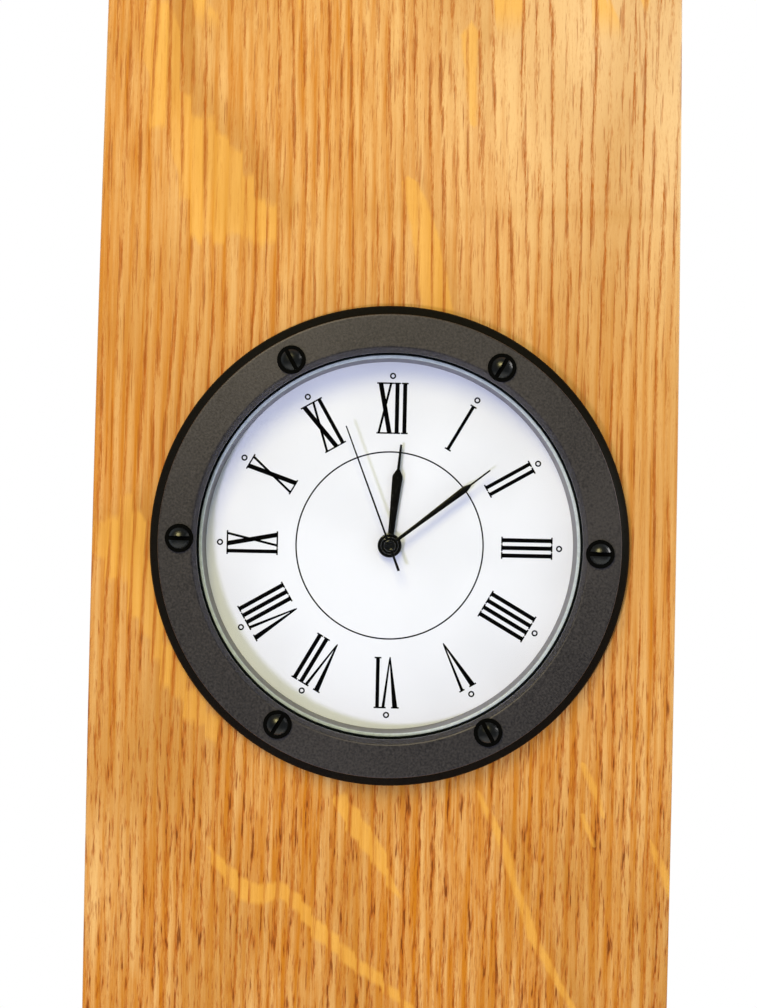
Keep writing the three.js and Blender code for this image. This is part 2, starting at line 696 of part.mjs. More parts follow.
// A tube about the dial's axis
function tube(inner, outer, low, high) {
  return turned([[inner, low], [outer, low], [outer, high], [inner, high]], SMALL_SIDES);
}

const hourFront = hourHandBack + HAND_THICKNESS;
const minuteFront = minuteHandBack + HAND_THICKNESS;
const secondFront = secondHandBack + HAND_THICKNESS;
place(insert, 'hour_wheel', wheel(0, HOUR_TEETH, hourModule, hourTurn)
  .add(tube(HOUR_BORE, HOUR_RADIUS, level(0)[0], hourFront))
  .subtract(rod(HOUR_BORE, level(0)[0] - WHEEL, hourFront + WHEEL, [0, 0], SMALL_SIDES)), brass);
place(insert, 'cannon_pinion', wheel(1, CANNON_TEETH, MOTION_MODULE, cannonTurn)
  .add(tube(CANNON_BORE, CANNON_RADIUS, level(2)[0], minuteFront))
  .subtract(rod(CANNON_BORE, level(2)[0] - WHEEL, minuteFront + WHEEL, [0, 0], SMALL_SIDES)), brass);
const studBore = studRadius + RUN;
const minuteHub = tube(studBore, studBore + HUB_WALL, level(1)[0], level(0)[1]);
place(insert, 'minute_wheel', wheel(1, MINUTE_TEETH, MOTION_MODULE, minuteTurn, minuteAt, studBore)
  .add(wheel(0, MINUTE_PINION, hourModule, minutePinionTurn, minuteAt, studBore))
  .add(minuteHub.translate(...minuteAt, 0)), brass);

// Setting knob: fluted head behind the case, pinion on the minute wheel
const knobEdge = [];
for (let corner = 0; corner < 2 * KNOB_FLUTES; corner += 1) {
  const radius = KNOB_DIAMETER / 2 - (corner % 2) * KNOB_FLUTE_DEPTH;
  knobEdge.push(polar(radius, corner * 180 / KNOB_FLUTES));
}
const knobHead = raised(outline(knobEdge), knobBack, coverBack - LEVEL_GAP).translate(...knobAt, 0);
place(insert, 'setting_knob', knobHead
  .add(rod(KNOB_SHAFT, knobBack, plateMiddle, knobAt))
  .add(wheel(1, KNOB_TEETH, MOTION_MODULE, knobTurn, knobAt)), movementBlack);

// Going train: centre wheel on the cannon tube, third, seconds and fifth wheels on their arbors
const secondsPinionTurn = 0;
const thirdTurn = meshedTurn(THIRD_DIRECTION, SECONDS_PINION, secondsPinionTurn, THIRD_TEETH);
const centreTurn = 0;
const thirdPinionTurn = meshedTurn(THIRD_DIRECTION, CENTRE_TEETH, centreTurn, THIRD_PINION);
const secondsTurn = 0;
const fifthPinionTurn = meshedTurn(FIFTH_DIRECTION, SECONDS_TEETH, secondsTurn, FIFTH_PINION);
const fifthTurn = 0;
const rotorTurn = meshedTurn(FIFTH_DIRECTION, FIFTH_TEETH, fifthTurn, ROTOR_TEETH);
const centreBore = CANNON_RADIUS + RUN;
place(insert, 'centre_wheel', wheel(2, CENTRE_TEETH, centreModule, centreTurn, [0, 0], centreBore), brass);
place(insert, 'third_wheel', wheel(3, THIRD_TEETH, THIRD_MODULE, thirdTurn, thirdAt)
  .add(wheel(2, THIRD_PINION, centreModule, thirdPinionTurn, thirdAt))
  .add(rod(PIVOT_RADIUS, coverMiddle, plateMiddle, thirdAt)), brass);
place(insert, 'seconds_wheel', wheel(4, SECONDS_TEETH, SECONDS_MODULE, secondsTurn)
  .add(wheel(3, SECONDS_PINION, THIRD_MODULE, secondsPinionTurn))
  .add(rod(SECOND_ARBOR, coverMiddle, secondFront)), brass);
place(insert, 'fifth_wheel', wheel(5, FIFTH_TEETH, ROTOR_MODULE, fifthTurn, fifthAt)
  .add(wheel(4, FIFTH_PINION, SECONDS_MODULE, fifthPinionTurn, fifthAt))
  .add(rod(PIVOT_RADIUS, coverMiddle, middleHalf, fifthAt)), brass);
place(insert, 'rotor', wheel(5, ROTOR_TEETH, ROTOR_MODULE, rotorTurn, rotorAt)
  .add(rod(MAGNET_DIAMETER / 2, ...level(3), rotorAt, SMALL_SIDES))
  .add(rod(PIVOT_RADIUS, coverMiddle, middleHalf, rotorAt)), finish(0x5a5c60, 0.4, 0.6));

// Step motor: a stator plate round the magnet, its two legs on the core that runs through the coil
const coilMiddle = (middleBack + coverInside) / 2;
const legX = COIL_LENGTH / 2 + STATOR_LEG / 2 + CLEAR;
const statorX = legX + STATOR_LEG / 2;
let statorPlate = block(
  [rotorAt[0] - statorX, rotorAt[1] - statorHalf, level(3)[0]],
  [rotorAt[0] + statorX, rotorAt[1] + statorHalf, level(3)[1]],
);
const coreLow = coilY - coilRadius / 2;
const coreHigh = coilY + coilRadius / 2;
let core = block(
  [rotorAt[0] - statorX, coreLow, level(4)[0]],
  [rotorAt[0] + statorX, coreHigh, level(4)[1]],
);
for (const side of [-1, 1]) {
  const x = rotorAt[0] + side * legX;
  const [left, right] = [x - STATOR_LEG / 2, x + STATOR_LEG / 2];
  statorPlate = statorPlate.add(block([left, coreLow, level(3)[0]], [right, rotorAt[1], level(3)[1]]));
  core = core.add(block([left, coreLow, level(4)[0]], [right, coreHigh, level(3)[0] - FIT]));
}
const statorBore = rod(MAGNET_DIAMETER / 2 + STATOR_GAP, coverInside, middleFront, rotorAt, SMALL_SIDES);
place(insert, 'stator', statorPlate.subtract(statorBore), steel);
place(insert, 'coil_core', core, steel);

// Coil: a spool with two flanges round the core
const spoolHalf = COIL_LENGTH / 2;
const windingRadius = coilRadius - COIL_STEP;
const spool = turned([
  [0, -spoolHalf], [coilRadius, -spoolHalf], [coilRadius, COIL_FLANGE - spoolHalf],
  [windingRadius, COIL_FLANGE - spoolHalf], [windingRadius, spoolHalf - COIL_FLANGE],
  [coilRadius, spoolHalf - COIL_FLANGE], [coilRadius, spoolHalf], [0, spoolHalf],
], SMALL_SIDES).rotate(0, 90, 0).translate(rotorAt[0], coilY, coilMiddle);
const spoolSlot = block(
  [rotorAt[0] - COIL_LENGTH, coreLow - FIT, level(4)[0] - FIT],
  [rotorAt[0] + COIL_LENGTH, coreHigh + FIT, level(4)[1] + FIT],
);
place(insert, 'coil', spool.subtract(spoolSlot), finish(0xa8552a, 0.4, 0.5));

// Circuit board behind the middle plate, beside the battery, with the quartz can and the chip on it
const boardFront = middleBack - FIT;
const boardBack = boardFront - BOARD_THICKNESS;
const boardRight = hollowHalf - CLEAR;
const boardLeft = boardRight - BOARD_LENGTH;
const boardLow = rotorAt[1] + statorHalf + CLEAR;
place(insert, 'circuit_board', block(
  [boardLeft, boardLow, boardBack], [boardRight, boardTop, boardFront],
), finish(0x2e6b3c, 0.5));
const canRadius = CAN_DIAMETER / 2;
const canY = boardTop - CONTACT_SHEET - 2 * CLEAR - canRadius;
const canX = boardRight - CLEAR - CAN_LENGTH / 2;
const can = rod(canRadius, -CAN_LENGTH / 2, CAN_LENGTH / 2).rotate(0, 90, 0);
place(insert, 'quartz_can', can.translate(canX, canY, boardBack - FIT - canRadius), steel);
const chipTop = canY - canRadius - CLEAR;
const chipLeft = boardRight - CLEAR - CHIP_LENGTH;
place(insert, 'timing_chip', block(
  [chipLeft, boardLow + CLEAR / 2, boardBack - FIT - CHIP_HEIGHT],
  [chipLeft + CHIP_LENGTH, chipTop, boardBack - FIT],
), finish(0x111214, 0.4));

// Button cell, its negative face to the front, reached from behind
const cellBack = coverBack;
const cellFront = cellBack + BATTERY_HEIGHT;
const cellStep = batteryRadius - BATTERY_STEP;
place(insert, 'battery', turned([
  [0, cellBack], [batteryRadius, cellBack], [batteryRadius, cellFront - BATTERY_STEP],
  [cellStep, cellFront - BATTERY_STEP], [cellStep, cellFront], [0, cellFront],
], CELL_SIDES).translate(...batteryAt, 0), steel);

// Contacts: bent strips that stand on the board, one to the cell's front face and one to its side
function contactStrip(points, x) {
  const shape = outline(points);
  return raised(shape, x - CONTACT_WIDTH / 2, x + CONTACT_WIDTH / 2).rotate(90, 0, 90);
}

const stripTop = boardTop - CLEAR / 2;
const stripLow = stripTop - CONTACT_SHEET;
const springBack = cellFront + FIT;
const springFront = springBack + CONTACT_SHEET;
place(insert, 'contact_negative', contactStrip([
  [stripLow, boardFront + FIT], [stripTop, boardFront + FIT], [stripTop, springBack],
  [batteryAt[1], springBack], [batteryAt[1], springFront], [stripLow, springFront],
], negativeX), steel);
const touch = batteryAt[1] - batteryRadius - FIT;
const footBack = coverInside + CLEAR;
const footFront = footBack + CONTACT_SHEET;
place(insert, 'contact_positive', contactStrip([
  [stripTop, boardBack - FIT], [stripTop, footFront], [touch, footFront],
  [touch, footBack], [stripLow, footBack], [stripLow, boardBack - FIT],
], batteryAt[0]), steel);

// Hands: thin blades with a shoulder and a needle point, pressed on the tubes

function blade({ length, shoulder, flare, root, widest, needle, boss }, bore) {
  const half = [
    [root / 2, 0], [widest / 2, shoulder - flare], [needle / 2, shoulder], [needle / 4, length],
  ];
  const left = half.map(([x, y]) => [-x, y]).reverse();
  const shape = outline([...half, ...left]);
  return raised(shape, 0, HAND_THICKNESS)
    .add(rod(boss, 0, HAND_THICKNESS, [0, 0], SMALL_SIDES))
    .subtract(rod(bore, -HAND_THICKNESS, 2 * HAND_THICKNESS, [0, 0], SMALL_SIDES));
}

function pointer({ length, tail, tip, heel, boss }) {
  const shape = outline([[heel / 2, -tail], [tip / 2, length], [-tip / 2, length], [-heel / 2, -tail]]);
  return raised(shape, 0, HAND_THICKNESS)
    .add(rod(boss, 0, HAND_THICKNESS, [0, 0], SMALL_SIDES))
    .subtract(rod(SECOND_ARBOR + FIT, -HAND_THICKNESS, 2 * HAND_THICKNESS));
}

const handBlack = finish(0x0c0c0d, 0.35);
const hourHand = blade(HOUR_HAND, HOUR_RADIUS + FIT);
const minuteHand = blade(MINUTE_HAND, CANNON_RADIUS + FIT);
const secondHand = pointer(SECOND_HAND);
for (const [name, shape, angle, back] of [
  ['hour_hand', hourHand, HOUR_ANGLE, hourHandBack],
  ['minute_hand', minuteHand, MINUTE_ANGLE, minuteHandBack],
  ['second_hand', secondHand, SECOND_ANGLE, secondHandBack],
]) {
  place(insert, name, shape.rotate(0, 0, -angle).translate(0, 0, back), handBlack);
}

// The insert's own +Z is the way the dial faces, and the whole clock hangs from the notch
insert.rotation.x = Math.PI / 2;
insert.position.x = POCKET_OFFSET;
clock.add(insert, hanger);
clock.position.copy(notchCentre).negate();

const part = new THREE.Group();
part.add(clock);
export default part;
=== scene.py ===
"""A wall clock made from one oak barrel stave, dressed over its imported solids."""

import json
import math

import bmesh
import bpy
import numpy as np
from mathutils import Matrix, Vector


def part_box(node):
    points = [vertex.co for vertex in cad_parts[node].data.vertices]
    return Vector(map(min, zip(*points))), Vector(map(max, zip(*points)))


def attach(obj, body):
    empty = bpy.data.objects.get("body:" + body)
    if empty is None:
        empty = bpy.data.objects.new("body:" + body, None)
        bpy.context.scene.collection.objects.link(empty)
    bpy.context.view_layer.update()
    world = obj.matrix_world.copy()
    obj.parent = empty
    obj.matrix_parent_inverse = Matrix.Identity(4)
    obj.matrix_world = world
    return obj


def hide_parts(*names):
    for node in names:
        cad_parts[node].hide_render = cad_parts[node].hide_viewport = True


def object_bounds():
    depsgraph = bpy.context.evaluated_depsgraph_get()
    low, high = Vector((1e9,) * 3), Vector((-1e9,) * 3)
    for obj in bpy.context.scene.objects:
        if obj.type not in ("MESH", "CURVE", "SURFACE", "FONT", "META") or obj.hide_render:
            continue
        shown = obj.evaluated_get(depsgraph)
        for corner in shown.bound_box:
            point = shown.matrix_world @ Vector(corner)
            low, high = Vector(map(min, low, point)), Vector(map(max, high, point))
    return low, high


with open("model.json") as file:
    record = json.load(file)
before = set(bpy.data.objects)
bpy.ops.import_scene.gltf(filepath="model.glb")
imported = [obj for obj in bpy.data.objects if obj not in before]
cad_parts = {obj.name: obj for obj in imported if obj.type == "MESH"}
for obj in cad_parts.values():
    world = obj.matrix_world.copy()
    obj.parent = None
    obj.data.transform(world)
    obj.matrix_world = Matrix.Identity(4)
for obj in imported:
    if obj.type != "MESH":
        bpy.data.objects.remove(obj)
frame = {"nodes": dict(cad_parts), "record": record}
cad_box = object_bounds()

# The stave is one oak board from a barrel, bent along its length, planed flat across the front
# and still hollow across the back. Its sides lean in as they met the next staves, and near each
# end are the chime bevel and the groove for the barrel's head. A round pocket takes the insert.

MM = 0.001
CENTRE_X, _, CENTRE_Z = 0.5 * (np.array(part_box("bezel")[0]) + np.array(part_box("bezel")[1])) / MM
FRONT_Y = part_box("stave")[0][1] / MM

LENGTH = 914.0
WIDTH = 86.0
THICKNESS = 25.0
BELLY_RADIUS = 330.0
BOW_DEPTH = 63.0
WIDEST_DROP = 60.0
CHIME_LENGTH = 32.0
CHIME_THICKNESS = 15.0
CROZE_INSET = 46.0
CROZE_WIDTH = 6.0
CROZE_DEPTH = 5.0
FRONT_EASING = 0.9
BACK_EASING = 0.7
END_EASING = 0.6
POCKET_OFFSET = 0.8
POCKET_RADIUS = 30.25
POCKET_DEPTH = 15.26
POCKET_LIP = 0.35
POCKET_FLOOR_RINGS = (20.0, 10.0, 0.0)
CLOCK_ZONE = 42.0
CLOCK_LEVELS = 29
BODY_LEVELS = 46
GROOVE_LEVELS = 3
CHIME_LEVELS = 6
SIDE_PASSES = 4

half_length = LENGTH / 2
bow_radius = (half_length**2 + BOW_DEPTH**2) / (2 * BOW_DEPTH)
side_lean = math.tan(math.asin(WIDTH / 2 / BELLY_RADIUS))


def front_depth(height):
    """How far the front lies behind the belly: the sagitta of a circle of the bow's radius."""
    return bow_radius - np.sqrt(bow_radius**2 - height**2)


def back_middle(height):
    """Depth of the back's middle line: a circle one thickness inside the bow, bent out to each chime."""
    full = bow_radius - np.sqrt((bow_radius - THICKNESS) ** 2 - height**2)
    past = np.clip((np.abs(height) - half_length + CHIME_LENGTH) / CHIME_LENGTH, 0, 1)
    return full + past * (front_depth(height) + CHIME_THICKNESS - full)


def back_depth(across, height):
    """Depth of the hollow back: a circle about the barrel's axis, cut deeper in the two head grooves."""
    radius = BELLY_RADIUS - back_middle(height)
    plain = BELLY_RADIUS - np.sqrt(radius**2 - across**2)
    groove_height = half_length - CROZE_INSET
    groove_radius = BELLY_RADIUS - back_middle(groove_height) + CROZE_DEPTH
    groove = BELLY_RADIUS - np.sqrt(groove_radius**2 - across**2)
    in_groove = np.abs(np.abs(height) - groove_height) < CROZE_WIDTH / 2
    return np.where(in_groove, np.minimum(plain, groove), plain)


def half_width(height):
    """Half the front's width, widest a little below the clock and drawn in towards both ends."""
    return WIDTH / 2 * (1 - front_depth(height + WIDEST_DROP) / BELLY_RADIUS)


def corner_curve(before, corner, after, steps):
    """A rounded corner: the quadratic curve between two points with the sharp corner as its handle."""
    share = np.linspace(0, 1, steps)[None, :, None]
    one, two, three = (point[:, None, :] for point in (before, corner, after))
    return (1 - share) ** 2 * one + 2 * share * (1 - share) * two + share**2 * three


def in_row_frame(across, depth, height):
    """Points in millimetres from the dial's centre on the wood, moved to the row frame in metres."""
    parts = np.broadcast_arrays(CENTRE_X + across, FRONT_Y + depth, CENTRE_Z + height)
    return np.stack(parts, axis=-1) * MM


def skin(name, patches, finishes, crease=32.0, weld=2e-6):
    """Joins grids of points, each with a finish number, into one closed mesh with outward faces."""
    points, quads, numbers, start = [], [], [], 0
    for grid, number in patches:
        rows, columns = grid.shape[:2]
        index = start + np.arange(rows * columns).reshape(rows, columns)
        corners = [index[:-1, :-1], index[:-1, 1:], index[1:, 1:], index[1:, :-1]]
        quads.append(np.stack(corners, axis=-1).reshape(-1, 4))
        points.append(grid.reshape(-1, 3))
        numbers.append(np.full(len(quads[-1]), number))
        start += rows * columns
    mesh = bpy.data.meshes.new(name)
    mesh.from_pydata(np.concatenate(points).tolist(), [], np.concatenate(quads).tolist())
    mesh.polygons.foreach_set("material_index", np.concatenate(numbers).astype(np.int32))
    shell = bmesh.new()
    shell.from_mesh(mesh)
    bmesh.ops.remove_doubles(shell, verts=shell.verts, dist=weld)
    bmesh.ops.recalc_face_normals(shell, faces=shell.faces)
    shell.to_mesh(mesh)
    shell.free()
    mesh.shade_smooth()
    mesh.set_sharp_from_angle(angle=math.radians(crease))
    for finish in finishes:
        mesh.materials.append(finish)
    piece = bpy.data.objects.new(name, mesh)
    bpy.context.scene.collection.objects.link(piece)
    return piece


def stave_heights():
    """Levels along the stave: close at the ends and grooves, and one on each edge of the clock's zone."""
    groove = half_length - CROZE_INSET
    edge = CROZE_WIDTH / 2
    hair = 0.01
    upper = np.concatenate([
        np.linspace(CLOCK_ZONE, groove - edge - hair, BODY_LEVELS),
        np.linspace(groove - edge + hair, groove + edge - hair, GROOVE_LEVELS),
        np.linspace(groove + edge + hair, half_length - CHIME_LENGTH, GROOVE_LEVELS),
        np.linspace(half_length - CHIME_LENGTH, half_length - END_EASING, CHIME_LEVELS)[1:],
        [half_length],
    ])
    return np.concatenate([-upper[::-1], np.linspace(-CLOCK_ZONE, CLOCK_ZONE, CLOCK_LEVELS)[1:-1], upper])


def stave_patches():
    """The stave's skin: sides and back swept along it, the front with its pocket, and two end grids."""
    heights = stave_heights()
    tall = heights[:, None]
    front = front_depth(heights)
    half = half_width(heights)
    back_half = half
    for _ in range(SIDE_PASSES):
        back_half = half - (back_depth(back_half, heights) - front) * side_lean
    back_edge = back_depth(back_half, heights)

    def at(across, depth):
        return np.stack([across, depth], axis=-1)

    arris = corner_curve(
        at(half - FRONT_EASING, front), at(half, front),
        at(half - FRONT_EASING * side_lean, front + FRONT_EASING), steps=6,
    )
    share = np.linspace(0, 1, 7)[None, :, None]
    low = arris[:, -1]
    high = at(back_half + BACK_EASING * side_lean, back_edge - BACK_EASING)
    wall = low[:, None, :] * (1 - share) + high[:, None, :] * share
    inner_half = back_half - BACK_EASING
    inner_edge = at(inner_half, back_depth(inner_half, heights))
    turn = corner_curve(high, at(back_half, back_edge), inner_edge, steps=5)
    right = np.concatenate([arris, wall[:, 1:], turn[:, 1:]], axis=1)
    left = right[:, ::-1] * [-1, 1]
    columns = 33
    spread = np.linspace(-1, 1, columns)[None, :]
    hollow_x = inner_half[:, None] * spread
    hollow = np.stack([hollow_x, back_depth(hollow_x, tall)], axis=-1)
    face_x = (half - FRONT_EASING)[:, None] * spread
    face = np.stack([face_x, np.broadcast_to(front[:, None], face_x.shape)], axis=-1)

    # The last level at each end is drawn in a little, so that the sawn edge is eased
    middle = 0.5 * (front + back_middle(heights))
    ends = (np.abs(heights) == half_length)[:, None, None]
    chains = []
    for chain in (right, left, hollow, face):
        centre = at(np.zeros_like(middle), middle)[:, None, :]
        shrink = 1 - END_EASING / np.array([WIDTH / 2, CHIME_THICKNESS / 2])
        chains.append(np.where(ends, centre + (chain - centre) * shrink, chain) - [POCKET_OFFSET, 0])
    right, left, hollow, face = chains

    def placed(chain, rows=slice(None)):
        return in_row_frame(chain[rows, :, 0], chain[rows, :, 1], tall[rows])

    patches = [(placed(right), 0), (placed(left), 0), (placed(hollow), 1)]
    below = np.flatnonzero(heights <= -CLOCK_ZONE)
    above = np.flatnonzero(heights >= CLOCK_ZONE)
    patches += [(placed(face, below), 0), (placed(face, above), 0)]

    # Each end is one grid blended from its four edges
    u = np.linspace(0, 1, columns)[None, :, None]
    v = np.linspace(0, 1, right.shape[1])[:, None, None]
    for row in (0, -1):
        near, far = face[row][None], hollow[row][None]
        west, east = left[row][::-1][:, None], right[row][:, None]
        edges = (1 - v) * near + v * far + (1 - u) * west + u * east
        first = (1 - v) * near[:, :1] + v * far[:, :1]
        last = (1 - v) * near[:, -1:] + v * far[:, -1:]
        cap = edges - ((1 - u) * first + u * last)
        patches.append((in_row_frame(cap[..., 0], cap[..., 1], heights[row]), 0))

    # The front round the clock runs in straight rules from the zone's edge to the pocket's rim
    zone = np.flatnonzero(np.abs(heights) <= CLOCK_ZONE)
    side = (half - FRONT_EASING)[zone]
    rim = np.concatenate([
        np.stack([side, heights[zone]], axis=-1)[:-1],
        np.stack([face_x[zone[-1]], np.full(columns, CLOCK_ZONE)], axis=-1)[::-1][:-1],
        np.stack([-side, heights[zone]], axis=-1)[::-1][:-1],
        np.stack([face_x[zone[0]], np.full(columns, -CLOCK_ZONE)], axis=-1),
    ]) - [POCKET_OFFSET, 0]
    angle = np.arctan2(rim[:, 1], rim[:, 0])
    circle = np.stack([np.cos(angle), np.sin(angle)], axis=-1)
    rules = np.linspace(0, 1, 9)[:, None, None]
    flat = rim * (1 - rules) + circle * (POCKET_RADIUS + POCKET_LIP) * rules
    patches.append((in_row_frame(flat[..., 0], front_depth(flat[..., 1]), flat[..., 1]), 0))

    # The pocket is bored straight in, with a broken edge at its mouth and a flat floor
    mouth = front_depth((POCKET_RADIUS + POCKET_LIP) * circle[:, 1])
    radii = [POCKET_RADIUS + POCKET_LIP, POCKET_RADIUS, POCKET_RADIUS, *POCKET_FLOOR_RINGS]
    floor = [np.full_like(mouth, POCKET_DEPTH)] * (1 + len(POCKET_FLOOR_RINGS))
    depths = np.stack([mouth, mouth + POCKET_LIP, *floor])
    bore = np.array(radii)[:, None, None] * circle
    patches.append((in_row_frame(bore[..., 0], depths, bore[..., 1]), 1))
    return patches


class Shade:
    """A socket of a material's nodes: sums and products add Math nodes, and node() adds any other."""

    def __init__(self, socket):
        self.socket = socket

    def node(self, kind, settings=None, sockets=None, out=0):
        """Adds a node, sets its settings, then its sockets' values or links, and gives one output."""
        tree = self.socket.id_data
        made = tree.nodes.new(kind)
        for key, value in (settings or {}).items():
            if key == "stops":
                while len(made.color_ramp.elements) < len(value):
                    made.color_ramp.elements.new(1.0)
                for element, (position, tone) in zip(made.color_ramp.elements, value):
                    element.position = position
                    element.color = tone
            else:
                setattr(made, key, value)
        for key, value in (sockets or {}).items():
            if isinstance(value, Shade):
                tree.links.new(value.socket, made.inputs[key])
            else:
                made.inputs[key].default_value = value
        return Shade(made.outputs[out])

    def math(self, operation, *values):
        return self.node("ShaderNodeMath", {"operation": operation}, dict(enumerate(values)))

    def __add__(self, other):
        return self.math("ADD", self, other)

    __radd__ = __add__

    def __sub__(self, other):
        return self.math("SUBTRACT", self, other)

    def __rsub__(self, other):
        return self.math("SUBTRACT", other, self)

    def __mul__(self, other):
        return self.math("MULTIPLY", self, other)

    def __truediv__(self, other):
        return self.math("DIVIDE", self, other)

    def magnitude(self):
        return self.math("ABSOLUTE", self)

    def rise(self, low, high):
        """0 below low, 1 above high and a smooth climb between."""
        values = {0: self, 1: low, 2: high, 3: 0.0, 4: 1.0}
        return self.node("ShaderNodeMapRange", {"interpolation_type": "SMOOTHSTEP"}, values)

    def blend(self, without, with_all):
        """One colour where this mask is 0 and another where it is 1."""
        return self.node("ShaderNodeMix", {"data_type": "RGBA"}, {0: self, 6: without, 7: with_all}, out=2)

    def part(self, axis):
        return self.node("ShaderNodeSeparateXYZ", sockets={0: self}, out=axis)

    def scaled(self, x, y, z, shift=(0.0, 0.0, 0.0)):
        """This vector with each axis scaled and shifted."""
        values = {"Vector": self, "Location": shift, "Scale": (x, y, z)}
        return self.node("ShaderNodeMapping", sockets=values)

    def noise(self, scale=1.0, detail=2.0, roughness=0.5):
        values = {"Vector": self, "Scale": scale, "Detail": detail, "Roughness": roughness}
        return self.node("ShaderNodeTexNoise", sockets=values)

    def bumps(self, depth):
        """A normal from this height, where 1 is the given depth in millimetres."""
        values = {"Height": self, "Distance": depth * MM, "Strength": 1.0}
        return self.node("ShaderNodeBump", sockets=values)


def colour(red, green, blue):
    """A colour given as 0 to 255 screen values, as linear light."""
    screen = np.array([red, green, blue]) / 255
    light = np.where(screen <= 0.04045, screen / 12.92, ((screen + 0.055) / 1.055) ** 2.4)
    return (*light.tolist(), 1.0)


def new_finish(name):
    """A material, its shader, and its Object coordinates in millimetres from the dial's centre."""
    material = bpy.data.materials.new(name)
    material.use_nodes = True
    shader = material.node_tree.nodes["Principled BSDF"]
    start = Shade(material.node_tree.nodes.new("ShaderNodeTexCoord").outputs["Object"])
    place = start.scaled(1 / MM, 1 / MM, 1 / MM, (-CENTRE_X, -FRONT_Y, -CENTRE_Z))
    return material, shader, place


def feed(shader, **values):
    """Sets or links the shader's sockets, named with underscores."""
    for key, value in values.items():
        socket = shader.inputs[key.replace("_", " ")]
        if isinstance(value, Shade):
            shader.id_data.links.new(value.socket, socket)
        else:
            socket.default_value = value


# The main rays show as gold flecks. Stepped and slanted ones run across the front, upright ones
# along it. Their stops are (place along the fleck's axis, its middle on the other axis, its
# half-width) in millimetres from the dial's centre, and a half-width below 0 ends the fleck.
STEPPED_RAYS = {
    "upper left": [
        (-37.6, 71.0, -1.0), (-36.8, 70.5, 9.0), (-33.6, 70.5, 9.5), (-32.4, 58.5, 8.0),
        (-30.0, 57.0, 7.5), (-29.2, 53.0, 9.0), (-26.4, 52.4, 8.4), (-23.2, 50.4, 6.0),
        (-20.4, 47.8, 3.4), (-17.9, 47.0, 2.6), (-17.2, 46.8, -1.0),
    ],
    "left": [
        (-43.0, -1.0, 2.0), (-40.6, -0.8, 4.4), (-39.0, -0.5, 6.0), (-36.6, -3.5, 8.6),
        (-35.2, -9.5, 6.0), (-33.2, -14.5, 4.4), (-31.4, -19.8, 3.0), (-28.6, -23.6, 2.4),
        (-25.4, -27.2, 1.9), (-23.6, -28.6, -1.0),
    ],
}
SLANTED_RAYS = {
    "zigzag": [
        (-26.4, -44.0, -1.0), (-25.2, -45.4, 0.9), (-22.8, -48.4, 1.5), (-20.7, -50.6, 1.7),
        (-18.2, -51.5, 1.5), (-14.9, -51.0, 1.3), (-12.6, -52.6, 1.4), (-9.8, -56.0, 1.6),
        (-6.9, -58.5, 1.4), (-4.1, -60.8, 1.2), (1.1, -65.0, 0.9), (7.4, -70.0, 0.6),
        (9.6, -71.8, -1.0),
    ],
    "below": [
        (-7.7, -37.2, -1.0), (-7.1, -37.6, 0.6), (-5.9, -38.7, 2.0), (-4.6, -40.0, 2.4),
        (-3.3, -41.6, 2.3), (-1.4, -44.4, 2.2), (0.6, -47.7, 1.7), (2.3, -51.3, 0.3),
        (2.8, -52.2, -1.0),
    ],
}
UPRIGHT_RAYS = {
    "above": [
        (31.0, 6.9, -1.0), (32.0, 6.8, 2.2), (36.0, 6.0, 2.3), (46.2, 4.1, 1.9), (53.2, 2.0, 1.2),
        (55.0, 1.4, -1.0),
    ],
    "top": [
        (60.4, 11.2, -1.0), (62.0, 11.0, 0.5), (71.2, 10.4, 0.9), (75.0, 10.2, 1.3),
        (79.0, 10.6, -1.0),
    ],
    "streak": [
        (-74.0, 32.2, -1.0), (-71.6, 30.8, 0.5), (-65.4, 27.1, 0.55), (-60.5, 24.3, 0.6),
        (-56.9, 22.1, 0.8), (-53.4, 21.1, 0.7), (-49.9, 19.5, 0.5), (-46.6, 18.6, 0.6),
        (-43.2, 17.5, 0.8), (-40.2, 16.0, 0.65), (-37.7, 14.6, 0.45), (-35.7, 13.7, 0.3),
        (-34.6, 13.2, -1.0),
    ],
    "right a": [
        (-40.0, 32.6, -1.0), (-39.1, 32.2, 0.2), (-34.5, 30.4, 0.55), (-31.3, 28.9, 0.4),
        (-30.4, 28.5, -1.0),
    ],
    "right b": [
        (-44.2, 31.1, -1.0), (-43.4, 30.8, 0.2), (-40.9, 29.8, 0.4), (-38.7, 29.1, 0.3),
        (-38.0, 28.8, -1.0),
    ],
    "right c": [
        (-54.0, 44.0, -1.0), (-53.0, 43.6, 0.5), (-50.3, 42.3, 0.6), (-45.7, 40.5, 0.55),
        (-42.2, 38.8, 0.2), (-41.4, 38.4, -1.0),
    ],
}
RING_PITCH = 1.92


def ray_fleck(along, across, stops, edge):
    """A mask for one fleck: a ramp along one axis holds its middle and half-width on the other."""
    place, middle, half = np.array(sorted(stops)).T
    low, span = float(middle.min()), float(max(np.ptp(middle), 1.0))
    widest = float(half.max()) + 1
    pairs = np.stack([(middle - low) / span, (half + 1) / widest], axis=-1).tolist()
    colours = [(*pair, 0.0, 1.0) for pair in pairs]
    shares = ((place - place[0]) / np.ptp(place)).tolist()
    share = along.node("ShaderNodeMapRange", None, {0: along, 1: float(place[0]), 2: float(place[-1])})
    ramp = share.node("ShaderNodeValToRGB", {"stops": list(zip(shares, colours))}, {0: share})
    off = (across - (ramp.part("X") * span + low)).magnitude()
    return (ramp.part("Y") * widest - 1 - off).rise(-edge, edge)


